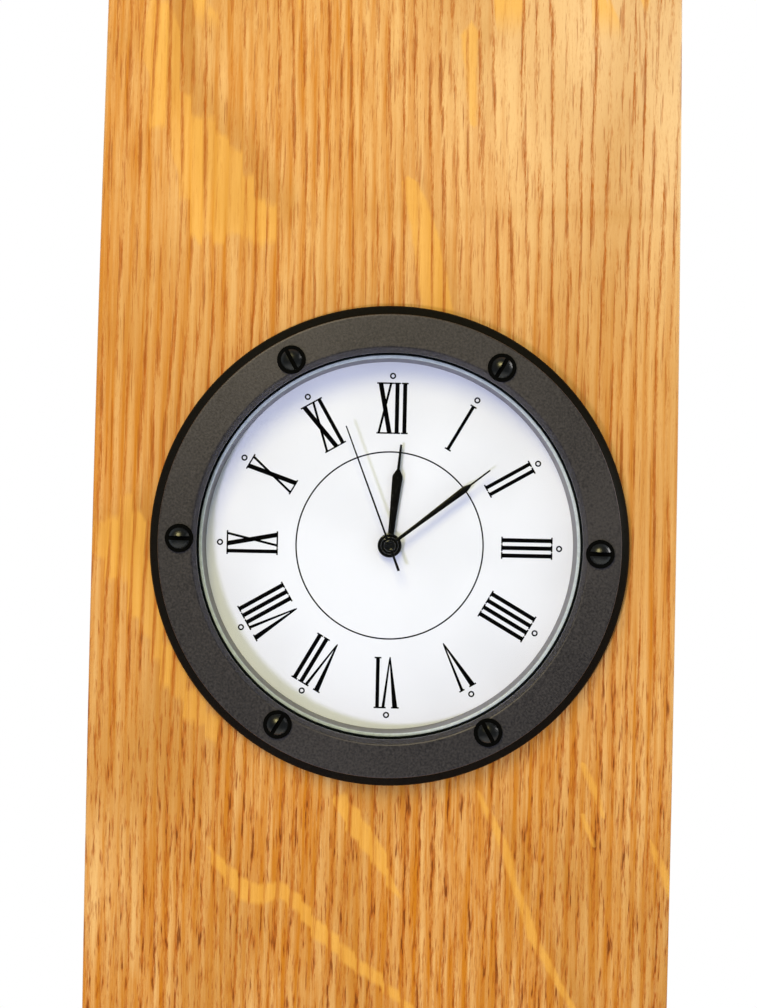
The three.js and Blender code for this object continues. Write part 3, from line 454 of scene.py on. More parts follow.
def oak(name, upper_right_pale, light, honey, dull, band, pore, deep, gold, varnish):
    """Quarter-sawn oak: ring lines with pores gathered in them, fibres between, and gold ray flecks."""
    material, shader, place = new_finish(name)
    across, up = place.part("X"), place.part("Z")
    sway = place.scaled(0.02, 0.05, 0.006).noise(detail=1.0)
    waver = place.scaled(0.3, 0.3, 0.03).noise(detail=1.0)
    ring = across / RING_PITCH + sway * 7 + waver * 0.9
    within = ring.math("FRACT", ring)
    number = ring.math("FLOOR", ring)
    chance = ring.node("ShaderNodeTexWhiteNoise", {"noise_dimensions": "1D"}, {"W": number}, "Value")
    broken = place.scaled(0.4, 0.4, 0.03, (17.0, 0.0, 3.0)).noise(detail=2.0).rise(0.34, 0.6)
    early = within.rise(0.0, 0.2) * (1 - within.rise(0.2, 0.55)) * (0.25 + broken * 0.75)
    streak = place.scaled(0.95, 0.95, 0.014).noise(detail=4.0, roughness=0.72)
    fibre = place.scaled(4.6, 4.6, 0.14).noise(detail=3.0, roughness=0.75)
    speck = place.scaled(8.0, 8.0, 1.1).noise(detail=2.0, roughness=0.6)
    cloud = place.scaled(0.05, 0.06, 0.022, (3.0, 5.0, 11.0)).noise(detail=2.0)

    # Pores are dashes along the grain, longer above the dial, shorter and denser below it
    long_dash = place.scaled(2.6, 2.6, 0.12).noise(detail=2.0, roughness=0.55)
    short_dash = place.scaled(2.7, 2.7, 0.25, (31.0, 0.0, 7.0)).noise(detail=2.0, roughness=0.6)
    region = (up + (sway - 0.5) * 60).rise(-34, 14)
    gathered = short_dash + 0.05 + (long_dash - short_dash - 0.05) * region + early * (0.1 + region * 0.07)
    pores = gathered.rise(0.58, 0.71)
    deepest = gathered.rise(0.68, 0.8)

    # Where a ray lies in the surface it hides the pores, and it breaks in level steps at the rings
    wobble = (place.scaled(0.7, 0.7, 0.4).noise(detail=3.0, roughness=0.6) - 0.5) * 2.4
    to_ring = (0.5 - within) * RING_PITCH
    flecks, shade = 0, 0
    for stops in STEPPED_RAYS.values():
        mask = ray_fleck(across + to_ring * 0.75, up + (chance - 0.5) * 2.4 + wobble, stops, 0.8)
        flecks = up.math("MAXIMUM", mask * (0.55 + chance * 0.35), flecks)
        shade = up.math("MAXIMUM", ray_fleck(across - 3, up - 2.5 + wobble, stops, 4.0), shade)
    for stops in SLANTED_RAYS.values():
        mask = ray_fleck(across + to_ring * 0.35, up + (chance - 0.5) * 0.5 + wobble * 0.4, stops, 0.5)
        flecks = up.math("MAXIMUM", mask * 0.9, flecks)
    for stops in UPRIGHT_RAYS.values():
        flecks = up.math("MAXIMUM", ray_fleck(up, across + wobble * 0.4, stops, 0.35) * 0.85, flecks)
        shade = up.math("MAXIMUM", ray_fleck(up, across - 2 + wobble * 0.4, stops, 1.5) * 0.5, shade)
    flecks = flecks * (1 - (place.part("Y") - up * up / (2 * bow_radius)).rise(0.6, 2.0))
    slope = {"Vector": place, "Rotation": (0.0, 0.5, 0.0), "Scale": (0.16, 0.3, 0.03)}
    tilted = place.node("ShaderNodeMapping", None, slope)
    stray = (tilted.noise(detail=2.0, roughness=0.4) + (chance - 0.5) * 0.04).rise(0.63, 0.66)
    flecks = flecks.math("MAXIMUM", flecks, stray * up.magnitude().rise(74, 80))

    # The wood is paler between the rings, to the upper right and down both lower sides
    # A broad patch towards the upper right is blended towards a paler colour of its own.
    paler_upper_right = across.rise(-10, 44) * up.rise(20, 78)
    paler = within * (1 - within) * 1.1 + region * 0.14 + paler_upper_right * 0.6 + 0.19
    lower_sides = across.magnitude().rise(8, 40) * (1 - region)
    paler = paler + lower_sides * 0.09 - across.rise(-26, -42) * region * 0.12
    wood = ((streak - 0.5) * (2.2 - region * 0.7) + paler).rise(0.0, 1.0).blend(honey, light)
    wood = (paler_upper_right * 0.8).blend(wood, upper_right_pale)
    wood = (cloud.rise(0.4, 0.75) * (0.8 - region * 0.3) + shade * 0.5).blend(wood, dull)
    wood = (early * 0.55 + (fibre - 0.5) * 1.8 + (speck - 0.5) * 1.3).rise(0.0, 1.0).blend(wood, band)
    kept = 1 - flecks * 0.75
    wood = (pores * kept * (0.56 - region * 0.1)).blend(wood, pore)
    wood = (deepest * kept * (0.75 - region * 0.45)).blend(wood, deep)
    lines = (early * 0.9 + (fibre - 0.5) * 1.4 + (streak - 0.5) * 0.8).rise(0.0, 1.0)
    wood = (flecks * (0.3 + streak * 0.7)).blend(wood, lines.blend(gold, band))
    height = fibre * 0.35 - pores * kept - early * 0.2 + flecks * 0.12
    feed(
        shader, Base_Color=wood, Roughness=0.5 + pores * 0.16 - flecks * 0.1, Normal=height.bumps(0.04),
        Coat_Weight=varnish, Coat_Roughness=0.25, Specular_IOR_Level=0.14,
    )
    return material


varnished_oak = oak(
    "varnished oak", upper_right_pale=colour(242, 204, 150), light=colour(233, 183, 112), honey=colour(200, 120, 16),
    dull=colour(188, 128, 52), band=colour(182, 100, 20), pore=colour(176, 84, 4),
    deep=colour(98, 42, 2), gold=colour(240, 177, 72), varnish=0.12,
)
toasted_oak = oak(
    "toasted oak", upper_right_pale=colour(184, 142, 98), light=colour(176, 130, 84), honey=colour(150, 102, 60),
    dull=colour(120, 84, 52), band=colour(118, 76, 42), pore=colour(82, 50, 28),
    deep=colour(48, 30, 18), gold=colour(178, 128, 76), varnish=0.0,
)
stave = skin("oak_stave", stave_patches(), [varnished_oak, toasted_oak])
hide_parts("stave")
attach(stave, "stave_board")

# The bezel is a moulded ring that lies on the wood: a low upright edge, a glossy slope up to
# the face, and a recess that the crystal drops into. Its short spigot joins it to the case.

BEZEL_RADIUS = 35.0
FACE_RADIUS = 33.6
BORE_RADIUS = 27.9
CRYSTAL_RADIUS = 28.65
SPIGOT_RADIUS = 28.6
SPIGOT_LENGTH = 1.5
BEZEL_LAND = 1.1
BASE_HEIGHT = 3.0
CRYSTAL_BACK = 1.5
FIT = 0.05
FLAT_HOLD = 0.01
RING_SIDES = 192


def eased(corners, steps=5):
    """A closed profile of (radius, height, easing): each corner is cut by a curve of its easing.

    One more point close outside each end of a curve keeps the flats between corners shaded flat.
    """
    radius, height, ease = np.array(corners, float).T
    corner = np.stack([radius, height], axis=-1)
    ends = []
    for shift in (1, -1):
        run = np.roll(corner, shift, axis=0) - corner
        ends.append(run / np.linalg.norm(run, axis=1, keepdims=True))
    before, after = ends
    reach, held = ease[:, None], ease[:, None] + FLAT_HOLD
    curve = corner_curve(corner + before * reach, corner, corner + after * reach, steps)
    around = [(corner + before * held)[:, None], curve, (corner + after * held)[:, None]]
    return np.concatenate(around, axis=1).reshape(-1, 2)


def turned(profile, middle=(0.0, 0.0), sides=RING_SIDES):
    """A profile of (radius, height) carried round a circle about the dial's axis, closed on itself."""
    closed = np.concatenate([profile, profile[:1]])
    angle = np.linspace(0, 2 * math.pi, sides + 1)[None, :]
    radius, height = closed[:, :1], closed[:, 1:]
    return in_row_frame(middle[0] + radius * np.cos(angle), -height, middle[1] + radius * np.sin(angle))


def moulded(name, deep, pale, roughness, grain, depth, specular=0.5, sheen=(1, 1, 1, 1)):
    """Moulded plastic: two close shades in speckle of a given grain, with a bump of a given depth."""
    material, shader, place = new_finish(name)
    speckle = place.noise(scale=grain, detail=3.0, roughness=0.65)
    drift = place.noise(scale=0.05, detail=2.0)
    shade = (speckle * 0.75 + drift * 0.25).rise(0.3, 0.7)
    feed(
        shader, Base_Color=shade.blend(deep, pale), Roughness=roughness + (speckle - 0.5) * 0.16,
        Normal=speckle.bumps(depth), Specular_IOR_Level=specular, Specular_Tint=sheen,
    )
    return material


gloss_black = moulded(
    "gloss black", colour(12, 15, 15), colour(16, 20, 20), roughness=0.3, grain=2.0, depth=0.004,
    specular=0.02, sheen=(0.8, 1, 0.82, 1),
)
bezel_profile = eased([
    (BORE_RADIUS, -SPIGOT_LENGTH, 0.1), (SPIGOT_RADIUS, -SPIGOT_LENGTH, 0.1), (SPIGOT_RADIUS, 0, 0.05),
    (BEZEL_RADIUS, 0, 0.12), (BEZEL_RADIUS, BEZEL_LAND, 0.45), (FACE_RADIUS, BASE_HEIGHT, 0.12),
    (CRYSTAL_RADIUS + FIT, BASE_HEIGHT, 0.05), (CRYSTAL_RADIUS + FIT, CRYSTAL_BACK - FIT, 0.05),
    (BORE_RADIUS, CRYSTAL_BACK - FIT, 0.05),
])
bezel = skin("bezel_ring", [(turned(bezel_profile), 0)], [gloss_black])
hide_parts("bezel")
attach(bezel, "clock_insert")

# The face ring is a matte moulded ring that clamps the crystal. It falls a little to its outer
# edge, and its inner lip slopes down to the glass.

FACE_THICKNESS = 1.4
FACE_BACK = BASE_HEIGHT + FIT
FACE_FRONT = FACE_BACK + FACE_THICKNESS
LIP_RADIUS = 28.05
LIP_SLOPE = 0.7
LIP_HEIGHT = 0.5
FACE_FALL = 0.2

matte_charcoal = moulded(
    "matte charcoal", colour(22, 21, 18), colour(62, 58, 53), roughness=0.43, grain=3.0, depth=0.02,
    specular=0.95, sheen=(0.78, 0.74, 1, 1),
)
face_profile = eased([
    (LIP_RADIUS, FACE_BACK, 0.04), (FACE_RADIUS, FACE_BACK, 0.04),
    (FACE_RADIUS, FACE_FRONT - FACE_FALL, 0.22), (LIP_RADIUS + LIP_SLOPE, FACE_FRONT, 0.2),
    (LIP_RADIUS, FACE_BACK + LIP_HEIGHT, 0.14),
])
face = skin("bezel_face_ring", [(turned(face_profile), 0)], [matte_charcoal], crease=24)
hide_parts("bezel_face")
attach(face, "clock_insert")

# Six round-head screws hold the face ring. Each has a deep slot across its dome, turned to point
# at the dial's centre. The dull black ring round each dome is painted shade, put for a shaded groove.

SCREW_COUNT = 6
SCREW_CIRCLE = 30.475
SHADE_RING_DIAMETER = 4.15
SHADE_RING_HEIGHT = 0.3
SHADE_RING_LAP = 0.1
SCREW_HEAD = 3.1
SCREW_DOME = 0.8
SCREW_SLOT = 0.58
SCREW_SLOT_FLOOR = 0.1
SLOT_DRAFT = 0.015
HEAD_ROWS = 16
HEAD_COLUMNS = 33
FIRST_SCREW = 31.0

screw_black = moulded("screw black", colour(3, 3, 3), colour(6, 6, 6), 0.31, 3.0, 0.004, specular=0.8)
# Dull black for the slots, and for the ring of painted shade round each dome.
slot_and_shade_ring_black = moulded("slot and shade ring black", colour(3, 3, 3), colour(6, 6, 6), 0.7, 3.0, 0.01, specular=0.05)


def slotted_head(diameter, dome, slot, floor):
    """A spherical cap in rows along its slot: two halves, and the slot let down between to its floor."""
    radius = diameter / 2
    sphere = (radius**2 + dome**2) / (2 * dome)
    wall = slot / 2 + SLOT_DRAFT
    half = wall + (radius - wall) * np.sin(np.linspace(0, math.pi / 2, HEAD_ROWS))
    grids = []
    for rows, sunk in ((-half[::-1], 0), (np.array([-wall, -slot / 2, slot / 2, wall]), 1), (half, 0)):
        across = rows[:, None]
        reach = np.sqrt(np.maximum(radius**2 - across**2, 0))
        along = reach * np.linspace(-1, 1, HEAD_COLUMNS)[None, :]
        height = np.sqrt(np.maximum(sphere**2 - along**2 - across**2, 0)) - sphere + dome
        if sunk:
            height[1:3] = np.minimum(height[1:3], floor)
        grids.append((along, np.broadcast_to(across, along.shape), np.maximum(height, 0), sunk))
        grids.append((along, np.broadcast_to(across, along.shape), np.zeros_like(height), 0))
    return grids


head = slotted_head(SCREW_HEAD, SCREW_DOME, SCREW_SLOT, SCREW_SLOT_FLOOR)
# The ring round the head is painted shade: a dark ring where a shaded groove would be.
shade_ring_inner, shade_ring_outer = SCREW_HEAD / 2 - SHADE_RING_LAP, SHADE_RING_DIAMETER / 2
shade_ring_profile = np.array([0, FACE_FRONT]) + eased([
    (shade_ring_inner, -FACE_FALL, 0.02), (shade_ring_outer, -FACE_FALL, 0.02),
    (shade_ring_outer, SHADE_RING_HEIGHT, 0.12), (shade_ring_inner, SHADE_RING_HEIGHT, 0.02),
])
for number in range(SCREW_COUNT):
    direction = math.radians(90 - FIRST_SCREW - 360 / SCREW_COUNT * number)
    cosine, sine = math.cos(direction), math.sin(direction)
    patches = []
    for along, beside, lift, sunk in head:
        reach = SCREW_CIRCLE + along
        turned_x, turned_z = reach * cosine - beside * sine, reach * sine + beside * cosine
        patches.append((in_row_frame(turned_x, -(FACE_FRONT + SHADE_RING_HEIGHT + lift), turned_z), sunk))
    middle = SCREW_CIRCLE * np.array([cosine, sine])
    # The ring of painted shade takes the dull slot material.
    patches.append((turned(shade_ring_profile, middle, sides=48), 1))
    screw = skin(f"bezel_screw_head_{number + 1}", patches, [screw_black, slot_and_shade_ring_black], crease=40, weld=1e-7)
    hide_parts(f"bezel_screw_{number + 1}")
    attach(screw, "clock_insert")

# The crystal is a flat clear pane, polished. It lies in the bezel's recess, where the face ring's
# lip holds it. Its glint head on is taken down, as on a coated pane, and grows to the sides.

GLASS_INDEX = 1.45
PLAIN_GLINT = 0.033
COATED_GLINT = 0.003
PANE_EASING = 0.1

crystal_material = bpy.data.materials.new("clear pane")
crystal_material.use_nodes = True
pane = crystal_material.node_tree
pane.nodes.remove(pane.nodes["Principled BSDF"])
inner_face = Shade(pane.nodes.new("ShaderNodeNewGeometry").outputs["Backfacing"])
index = GLASS_INDEX + inner_face * (1 / GLASS_INDEX - GLASS_INDEX)
fresnel = inner_face.node("ShaderNodeFresnel", None, {"IOR": index})
coated = {0: fresnel, 1: PLAIN_GLINT, 2: 1.0, 3: COATED_GLINT, 4: 1.0}
glint = fresnel.node("ShaderNodeMapRange", None, coated)
clear = glint.node("ShaderNodeBsdfTransparent", None, {"Color": (1, 1, 1, 1)})
mirror = glint.node("ShaderNodeBsdfGlossy", None, {"Color": (1, 1, 1, 1), "Roughness": 0.02})
both = glint.node("ShaderNodeMixShader", None, {0: glint, 1: clear, 2: mirror})
pane.links.new(both.socket, pane.nodes["Material Output"].inputs["Surface"])
pane_corners = np.array([[CRYSTAL_RADIUS, CRYSTAL_BACK], [CRYSTAL_RADIUS, BASE_HEIGHT]])
pane_edge = corner_curve(
    pane_corners - [[PANE_EASING, 0], [0, PANE_EASING]], pane_corners,
    pane_corners + [[0, PANE_EASING], [-PANE_EASING, 0]], steps=4,
).reshape(-1, 2)
crystal_profile = np.concatenate([[[0.0, CRYSTAL_BACK]], pane_edge, [[0.0, BASE_HEIGHT]]])
crystal = skin("clear_crystal", [(turned(crystal_profile), 0)], [crystal_material])
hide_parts("crystal")
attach(crystal, "clock_insert")

# The dial ring stands between dial and crystal: a pale grey ring with a narrow cone inside and
# a bright flat rim just behind the glass. The cone's dark grey is painted shade.

DIAL_OPENING = 26.95
RIM_INNER = 27.35
RIM_OUTER = 27.8
DIAL_FRONT = -2.56
DIAL_BACK = -3.06
RIM_FRONT = CRYSTAL_BACK - 2 * FIT

pale_ring_with_cone_shade, shader, place = new_finish("pale grey ring")
spread = place.node("ShaderNodeVectorMath", {"operation": "LENGTH"}, {0: place.scaled(1, 0, 1)}, "Value")
polish = place.noise(scale=1.4, detail=3.0)
# Painted shade: the cone is a dark grey, and only the rim shows the ring's pale grey.
rim = spread.rise(RIM_INNER - 0.06, RIM_INNER + 0.02)
bright = polish.rise(0.3, 0.7).blend(colour(186, 196, 198), colour(204, 213, 214))
feed(
    shader, Base_Color=rim.blend(colour(84, 80, 86), bright), Roughness=0.3 + polish * 0.1,
    Normal=polish.bumps(0.003),
)
dial_ring_profile = eased([
    (DIAL_OPENING, DIAL_FRONT + FIT, 0.03), (RIM_OUTER, DIAL_FRONT + FIT, 0.03),
    (RIM_OUTER, RIM_FRONT, 0.1), (RIM_INNER, RIM_FRONT, 0.14),
])
dial_ring = skin("dial_cone_ring", [(turned(dial_ring_profile), 0)], [pale_ring_with_cone_shade])
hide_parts("dial_ring")
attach(dial_ring, "clock_insert")

# The dial is a thin white disc with a hole for the hour tube. The hours are printed on it in
# black: tall numerals with their feet to the centre, a small open circle outside each, and one
# thin circle inside them.

DIAL_RADIUS = 28.6
DIAL_HOLE = 1.25

dial_white, shader, place = new_finish("white dial")
tooth = place.noise(scale=4.0, detail=2.0)
drift = place.noise(scale=0.08, detail=1.0)
feed(
    shader, Base_Color=drift.rise(0.3, 0.7).blend(colour(230, 232, 238), colour(236, 238, 244)),
    Roughness=0.5 + (tooth - 0.5) * 0.1, Normal=tooth.bumps(0.004), Specular_IOR_Level=0.3,
)
dial_profile = np.array([
    [DIAL_HOLE, DIAL_BACK], [DIAL_RADIUS, DIAL_BACK],
    [DIAL_RADIUS, DIAL_FRONT], [DIAL_HOLE, DIAL_FRONT],
])
dial = skin("white_dial", [(turned(dial_profile), 0)], [dial_white])
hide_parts("dial")
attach(dial, "clock_insert")

NUMERAL_FOOT = 16.4
NUMERAL_HEIGHT = 7.55
STEM = 0.6
STEM_SPARED = 0.06
HAIRLINE = 0.35
SERIF = 0.22
SERIF_REACH = 0.5
STEM_STEP = 1.13
LETTER_STEP = 1.77
HOUR_MARK_CIRCLE = 24.92
HOUR_MARK = (0.24, 0.46)
INNER_CIRCLE = (13.64, 13.85)
PRINT_LIFT = 0.002
PRINT_FILM = 0.02
PRINT_BACK = DIAL_FRONT + PRINT_LIFT
PRINT_FRONT = DIAL_FRONT + PRINT_FILM
HOUR_WORDS = ["I", "II", "III", "IIII", "V", "VI", "VII", "VIII", "IX", "X", "XI", "XII"]

# A letter is its legs, as (foot x, foot y, head x, foot width, head width), then the spans of the
# serifs at its head and at its foot, all from the letter's middle.
LETTERS = {
    "I": ([(0, 0, 0, STEM, STEM)], [(-SERIF_REACH, SERIF_REACH)], [(-SERIF_REACH, SERIF_REACH)]),
    "V": ([(0, 0, -0.85, 0.18, 0.76), (0.03, 0.2, 0.92, 0.2, 0.44)], [(-1.42, -0.3), (0.5, 1.36)], []),
    "X": (
        [(0.72, 0, -0.7, 0.68, 0.68), (-0.9, 0, 0.86, HAIRLINE, HAIRLINE)],
        [(-1.24, 1.24)], [(-1.2, 1.22)],
    ),
}


def numeral_strokes(word):
    """Strokes of one numeral as (foot x, foot y, head x, head y, foot width, head width), centred."""
    strokes, heads, feet = [], [], []
    top = NUMERAL_HEIGHT
    here = 0.0
    for index, letter in enumerate(word):
        if index:
            here += STEM_STEP if letter == "I" and word[index - 1] == "I" else LETTER_STEP
        spared = STEM_SPARED * max(3 - len(word), 0) if letter == "I" else 0
        legs, at_head, at_foot = LETTERS[letter]
        for foot_x, foot_y, head_x, *widths in legs:
            strokes.append((here + foot_x, foot_y, here + head_x, top, *(wide - spared for wide in widths)))
        heads += [(here + low, here + high) for low, high in at_head]
        feet += [(here + low, here + high) for low, high in at_foot]
    for spans, level in ((heads, top - SERIF / 2), (feet, SERIF / 2)):
        for low, high in spans:
            strokes.append((low, level, high, level, SERIF, SERIF))
    strokes = np.array(strokes, float)
    ends = np.array(heads + feet)
    strokes[:, [0, 2]] -= 0.5 * (ends.min() + ends.max())
    return strokes


def stroke_corners(strokes, hour):
    """The four corners of each stroke: its ends spread half a width each way, then turned to the hour."""
    foot, head, widths = strokes[:, 0:2], strokes[:, 2:4], strokes[:, 4:6]
    run = head - foot
    level = np.abs(run[:, :1]) > np.abs(run[:, 1:])
    spread = np.where(level, [0.0, 1.0], [1.0, 0.0]) * 0.5
    corners = np.stack([
        foot - spread * widths[:, :1], foot + spread * widths[:, :1],
        head + spread * widths[:, 1:], head - spread * widths[:, 1:],
    ], axis=1)
    turn = math.radians(30 * hour)
    x, y = corners[..., 0], corners[..., 1] + NUMERAL_FOOT
    cosine, sine = math.cos(turn), math.sin(turn)
    return np.stack([x * cosine + y * sine, y * cosine - x * sine], axis=-1)


def printed_stroke(corners):
    """A closed film over one stroke: the walls round it, its back and its front."""
    around = corners[[0, 1, 2, 3, 0]]
    walls = in_row_frame(around[:, 0], np.array([[-PRINT_BACK], [-PRINT_FRONT]]), around[:, 1])
    return [(walls, 0), (walls[0][[[0, 1], [3, 2]]], 0), (walls[1][[[0, 1], [3, 2]]], 0)]


def printed_ring(radii, middle, sides):
    """A closed film between two circles."""
    inner, outer = radii
    profile = [[inner, PRINT_BACK], [outer, PRINT_BACK], [outer, PRINT_FRONT], [inner, PRINT_FRONT]]
    return (turned(np.array(profile), middle, sides), 0)


marks = [printed_ring(INNER_CIRCLE, (0.0, 0.0), 180)]
for hour, word in enumerate(HOUR_WORDS, start=1):
    for corners in stroke_corners(numeral_strokes(word), hour):
        marks += printed_stroke(corners)
    turn = math.radians(30 * hour)
    middle = (HOUR_MARK_CIRCLE * math.sin(turn), HOUR_MARK_CIRCLE * math.cos(turn))
    marks.append(printed_ring(HOUR_MARK, middle, 28))

print_black, shader, place = new_finish("print black")
worn = place.noise(scale=3.0, detail=3.0, roughness=0.7)
feed(
    shader, Base_Color=worn.rise(0.62, 0.78).blend(colour(2, 2, 3), colour(22, 21, 24)),
    Roughness=0.5, Specular_IOR_Level=0.02,
)
dial_print = skin("dial_print", marks, [print_black])
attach(dial_print, "clock_insert")

# The three hands are stamped from thin sheet and blackened. Hour and minute hands widen to a
# shoulder and end in a needle; the second hand is a plain pointer with a short tail. A hand's
# stations are (place along it, half its width there), and its boss is a dished collar.

HAND_SHEET = 0.22
COLLAR_RIM = 0.3
COLLAR_WALL = 0.36
COLLAR_DISH = 0.4
COLLAR_FLOOR = 0.02
HANDS = [
    {
        "node": "hour_hand", "body": "hours_group",
        "back": -1.71, "angle": 5.4, "boss": 1.77, "bore": 1.1,
        "stations": [
            (0.0, 0.4), (4.0, 0.5), (10.0, 0.77), (10.35, 0.73), (11.25, 0.22), (14.7, 0.17), (14.9, 0.17),
        ],
    },
    {
        "node": "minute_hand", "body": "minutes_group",
        "back": -0.64, "angle": 52.0, "boss": 1.3, "bore": 0.67,
        "stations": [
            (0.0, 0.24), (5.0, 0.29), (13.5, 0.5), (13.9, 0.47), (14.9, 0.14), (18.2, 0.12), (18.4, 0.12),
        ],
    },
    {
        "node": "second_hand", "body": "seconds_group",
        "back": 0.43, "angle": -21.1, "boss": 0.85, "bore": 0.0,
        "stations": [(-3.9, 0.2), (-3.7, 0.2), (0.0, 0.15), (18.4, 0.1), (18.6, 0.1)],
    },
]

hand_black, shader, place = new_finish("hand black")
scuff = place.noise(scale=2.4, detail=4.0, roughness=0.7)
feed(
    shader, Base_Color=scuff.rise(0.62, 0.78).blend(colour(2, 2, 2), colour(110, 110, 108)),
    Roughness=0.3 + (scuff - 0.5) * 0.2, Normal=scuff.bumps(0.006), Specular_IOR_Level=0.2,
)
collar_black = moulded("collar black", colour(9, 9, 9), colour(14, 14, 13), 0.14, 3.0, 0.003, specular=0.6)


def blade(stations, back, angle):
    """A hand's blade: half-widths along it, a low crown across it, and a flat back."""
    along, half = np.array(stations).T[:, :, None]
    share = np.array([-1, -0.96, -0.8, -0.4, 0, 0.4, 0.8, 0.96, 1])[None, :]
    crown = HAND_SHEET * np.array([0.55, 0.8, 0.92, 0.98, 1, 0.98, 0.92, 0.8, 0.55])[None, :]
    turn = math.radians(angle)
    x, y = half * share, np.broadcast_to(along, (len(along), share.shape[1]))
    east, north = x * math.cos(turn) + y * math.sin(turn), y * math.cos(turn) - x * math.sin(turn)
    lifts = (np.broadcast_to(crown, x.shape), np.zeros_like(x))
    front, rear = (in_row_frame(east, -(back + lift), north) for lift in lifts)
    walls = [np.stack([front[:, side], rear[:, side]]) for side in (0, -1)]
    tips = [np.stack([front[end], rear[end]]) for end in (0, -1)]
    return [(grid, 0) for grid in (front, rear, *walls, *tips)]


for hand in HANDS:
    back, boss, bore = hand["back"], hand["boss"], hand["bore"]
    sheet = back + HAND_SHEET
    rim, dished = sheet + COLLAR_RIM, sheet + COLLAR_FLOOR
    collar = eased([
        (bore, back, 0.01), (boss, back, 0.03), (boss, rim, 0.17), (boss - COLLAR_WALL, rim, 0.17),
        (boss - COLLAR_DISH, dished, 0.06), (bore, dished, 0.01),
    ], steps=6)
    patches = blade(hand["stations"], back, hand["angle"]) + [(turned(collar, sides=96), 1)]
    piece = skin(hand["node"] + "_blade", patches, [hand_black, collar_black], crease=28)
    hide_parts(hand["node"])
    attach(piece, hand["body"])

# The case is a moulded cup behind the dial, with openings in its back for the knob and the
# cell. A ribbed rubber ring round it grips the pocket.

GRIP_BORE = 29.6
GRIP_FOOT = 29.75
GRIP_CREST = 30.1
GRIP_FRONT = -2.4
GRIP_LENGTH = 6.0
GRIP_RIBS = 4
RIB_STEPS = 8
CARRIED_WELD = 1e-6
CARRIED_CREASE = 28.0


def carried(node, finish):
    """A copy of a CAD node's mesh, joined at its corners and shaded smooth, in the node's place."""
    mesh = frame["nodes"][node].data.copy()
    shell = bmesh.new()
    shell.from_mesh(mesh)
    bmesh.ops.remove_doubles(shell, verts=shell.verts, dist=CARRIED_WELD)
    shell.to_mesh(mesh)
    shell.free()
    if mesh.has_custom_normals:
        mesh.attributes.remove(mesh.attributes["custom_normal"])
    mesh.shade_smooth()
    mesh.set_sharp_from_angle(angle=math.radians(CARRIED_CREASE))
    mesh.materials.clear()
    mesh.materials.append(finish)
    piece = bpy.data.objects.new(node + "_dressed", mesh)
    bpy.context.scene.collection.objects.link(piece)
    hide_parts(node)
    bodies = frame["record"]["behaviour"]["bodies"]
    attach(piece, next(body for body, nodes in bodies.items() if node in nodes))


black_case = moulded("black case", colour(24, 24, 26), colour(38, 38, 40), 0.5, 2.6, 0.015)
for node in ("case", "movement_cover", "setting_knob"):
    carried(node, black_case)

grip_rubber = moulded("grip rubber", colour(20, 20, 20), colour(34, 33, 32), 0.78, 1.6, 0.02, specular=0.25)
wave = np.linspace(0, 1, RIB_STEPS * GRIP_RIBS + 1)
swell = 0.5 - 0.5 * np.cos(2 * math.pi * GRIP_RIBS * wave)
rib_radius = GRIP_FOOT + (GRIP_CREST - GRIP_FOOT) * swell
ribs = np.stack([rib_radius, GRIP_FRONT - GRIP_LENGTH * (1 - wave)], axis=-1)
grip_profile = np.concatenate([[[GRIP_BORE, GRIP_FRONT - GRIP_LENGTH]], ribs, [[GRIP_BORE, GRIP_FRONT]]])
grip = skin("ribbed_grip_ring", [(turned(grip_profile), 0)], [grip_rubber], crease=50)
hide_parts("grip_ring")
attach(grip, "clock_insert")

# The movement stands behind the dial: moulded ivory plates, a brass train, the step motor, the
# board with its quartz can and chip, and the cell. Each piece keeps its solid with a finish.

movement_ivory = moulded("movement ivory", colour(206, 202, 188), colour(222, 218, 206), 0.55, 2.4, 0.01)
for node in ("front_plate", "middle_plate"):
    carried(node, movement_ivory)


def worked_metal(name, deep, pale, roughness, stretch):
    """Worked metal: fine lines along one way, in two close shades."""
    material, shader, place = new_finish(name)
    lines = place.scaled(*stretch).noise(detail=3.0, roughness=0.65)
    stain = place.noise(scale=0.35, detail=2.0)
    shade = (lines * 0.6 + stain * 0.4).rise(0.32, 0.68)
    wear = (stain - 0.5) * 0.2 + (lines - 0.5) * 0.12
    feed(
        shader, Base_Color=shade.blend(deep, pale), Roughness=roughness + wear, Metallic=1.0,
        Normal=lines.bumps(0.006),
    )
    return material


train_brass = worked_metal("train brass", colour(170, 128, 58), colour(214, 172, 92), 0.28, (1.2, 1.2, 6.0))
for node in (
    "hour_wheel", "cannon_pinion", "minute_wheel", "centre_wheel", "third_wheel", "seconds_wheel",
    "fifth_wheel",
):
    carried(node, train_brass)
plated_steel = worked_metal(
    "plated steel", colour(150, 148, 142), colour(196, 194, 188), 0.32, (0.6, 2.0, 5.0),
)
for node in ("stator", "coil_core", "quartz_can", "battery", "contact_positive", "contact_negative"):
    carried(node, plated_steel)
magnet_grey = worked_metal("magnet grey", colour(70, 70, 74), colour(104, 104, 108), 0.45, (2.0, 2.0, 2.0))
carried("rotor", magnet_grey)
copper_winding = worked_metal(
    "copper winding", colour(120, 54, 26), colour(186, 96, 52), 0.35, (9.0, 0.6, 0.6),
)
carried("coil", copper_winding)
board_green = moulded("board green", colour(30, 84, 46), colour(44, 108, 60), 0.4, 1.2, 0.01)
carried("circuit_board", board_green)
chip_black = moulded("chip black", colour(16, 16, 18), colour(28, 28, 30), 0.4, 3.0, 0.006)
carried("timing_chip", chip_black)

# The hanger is a strip of plated steel screwed to the back, bent off the wood in the middle and
# notched along its lower edge for the wall nail. Two round-head screws hold its flat ends.

for node in ("sawtooth_hanger", "hanger_screw_left", "hanger_screw_right"):
    carried(node, plated_steel)

# The stage: a pale floor under the stave, soft lamps, a white background and the camera, which
# looks square at the wood from a little under half a metre.

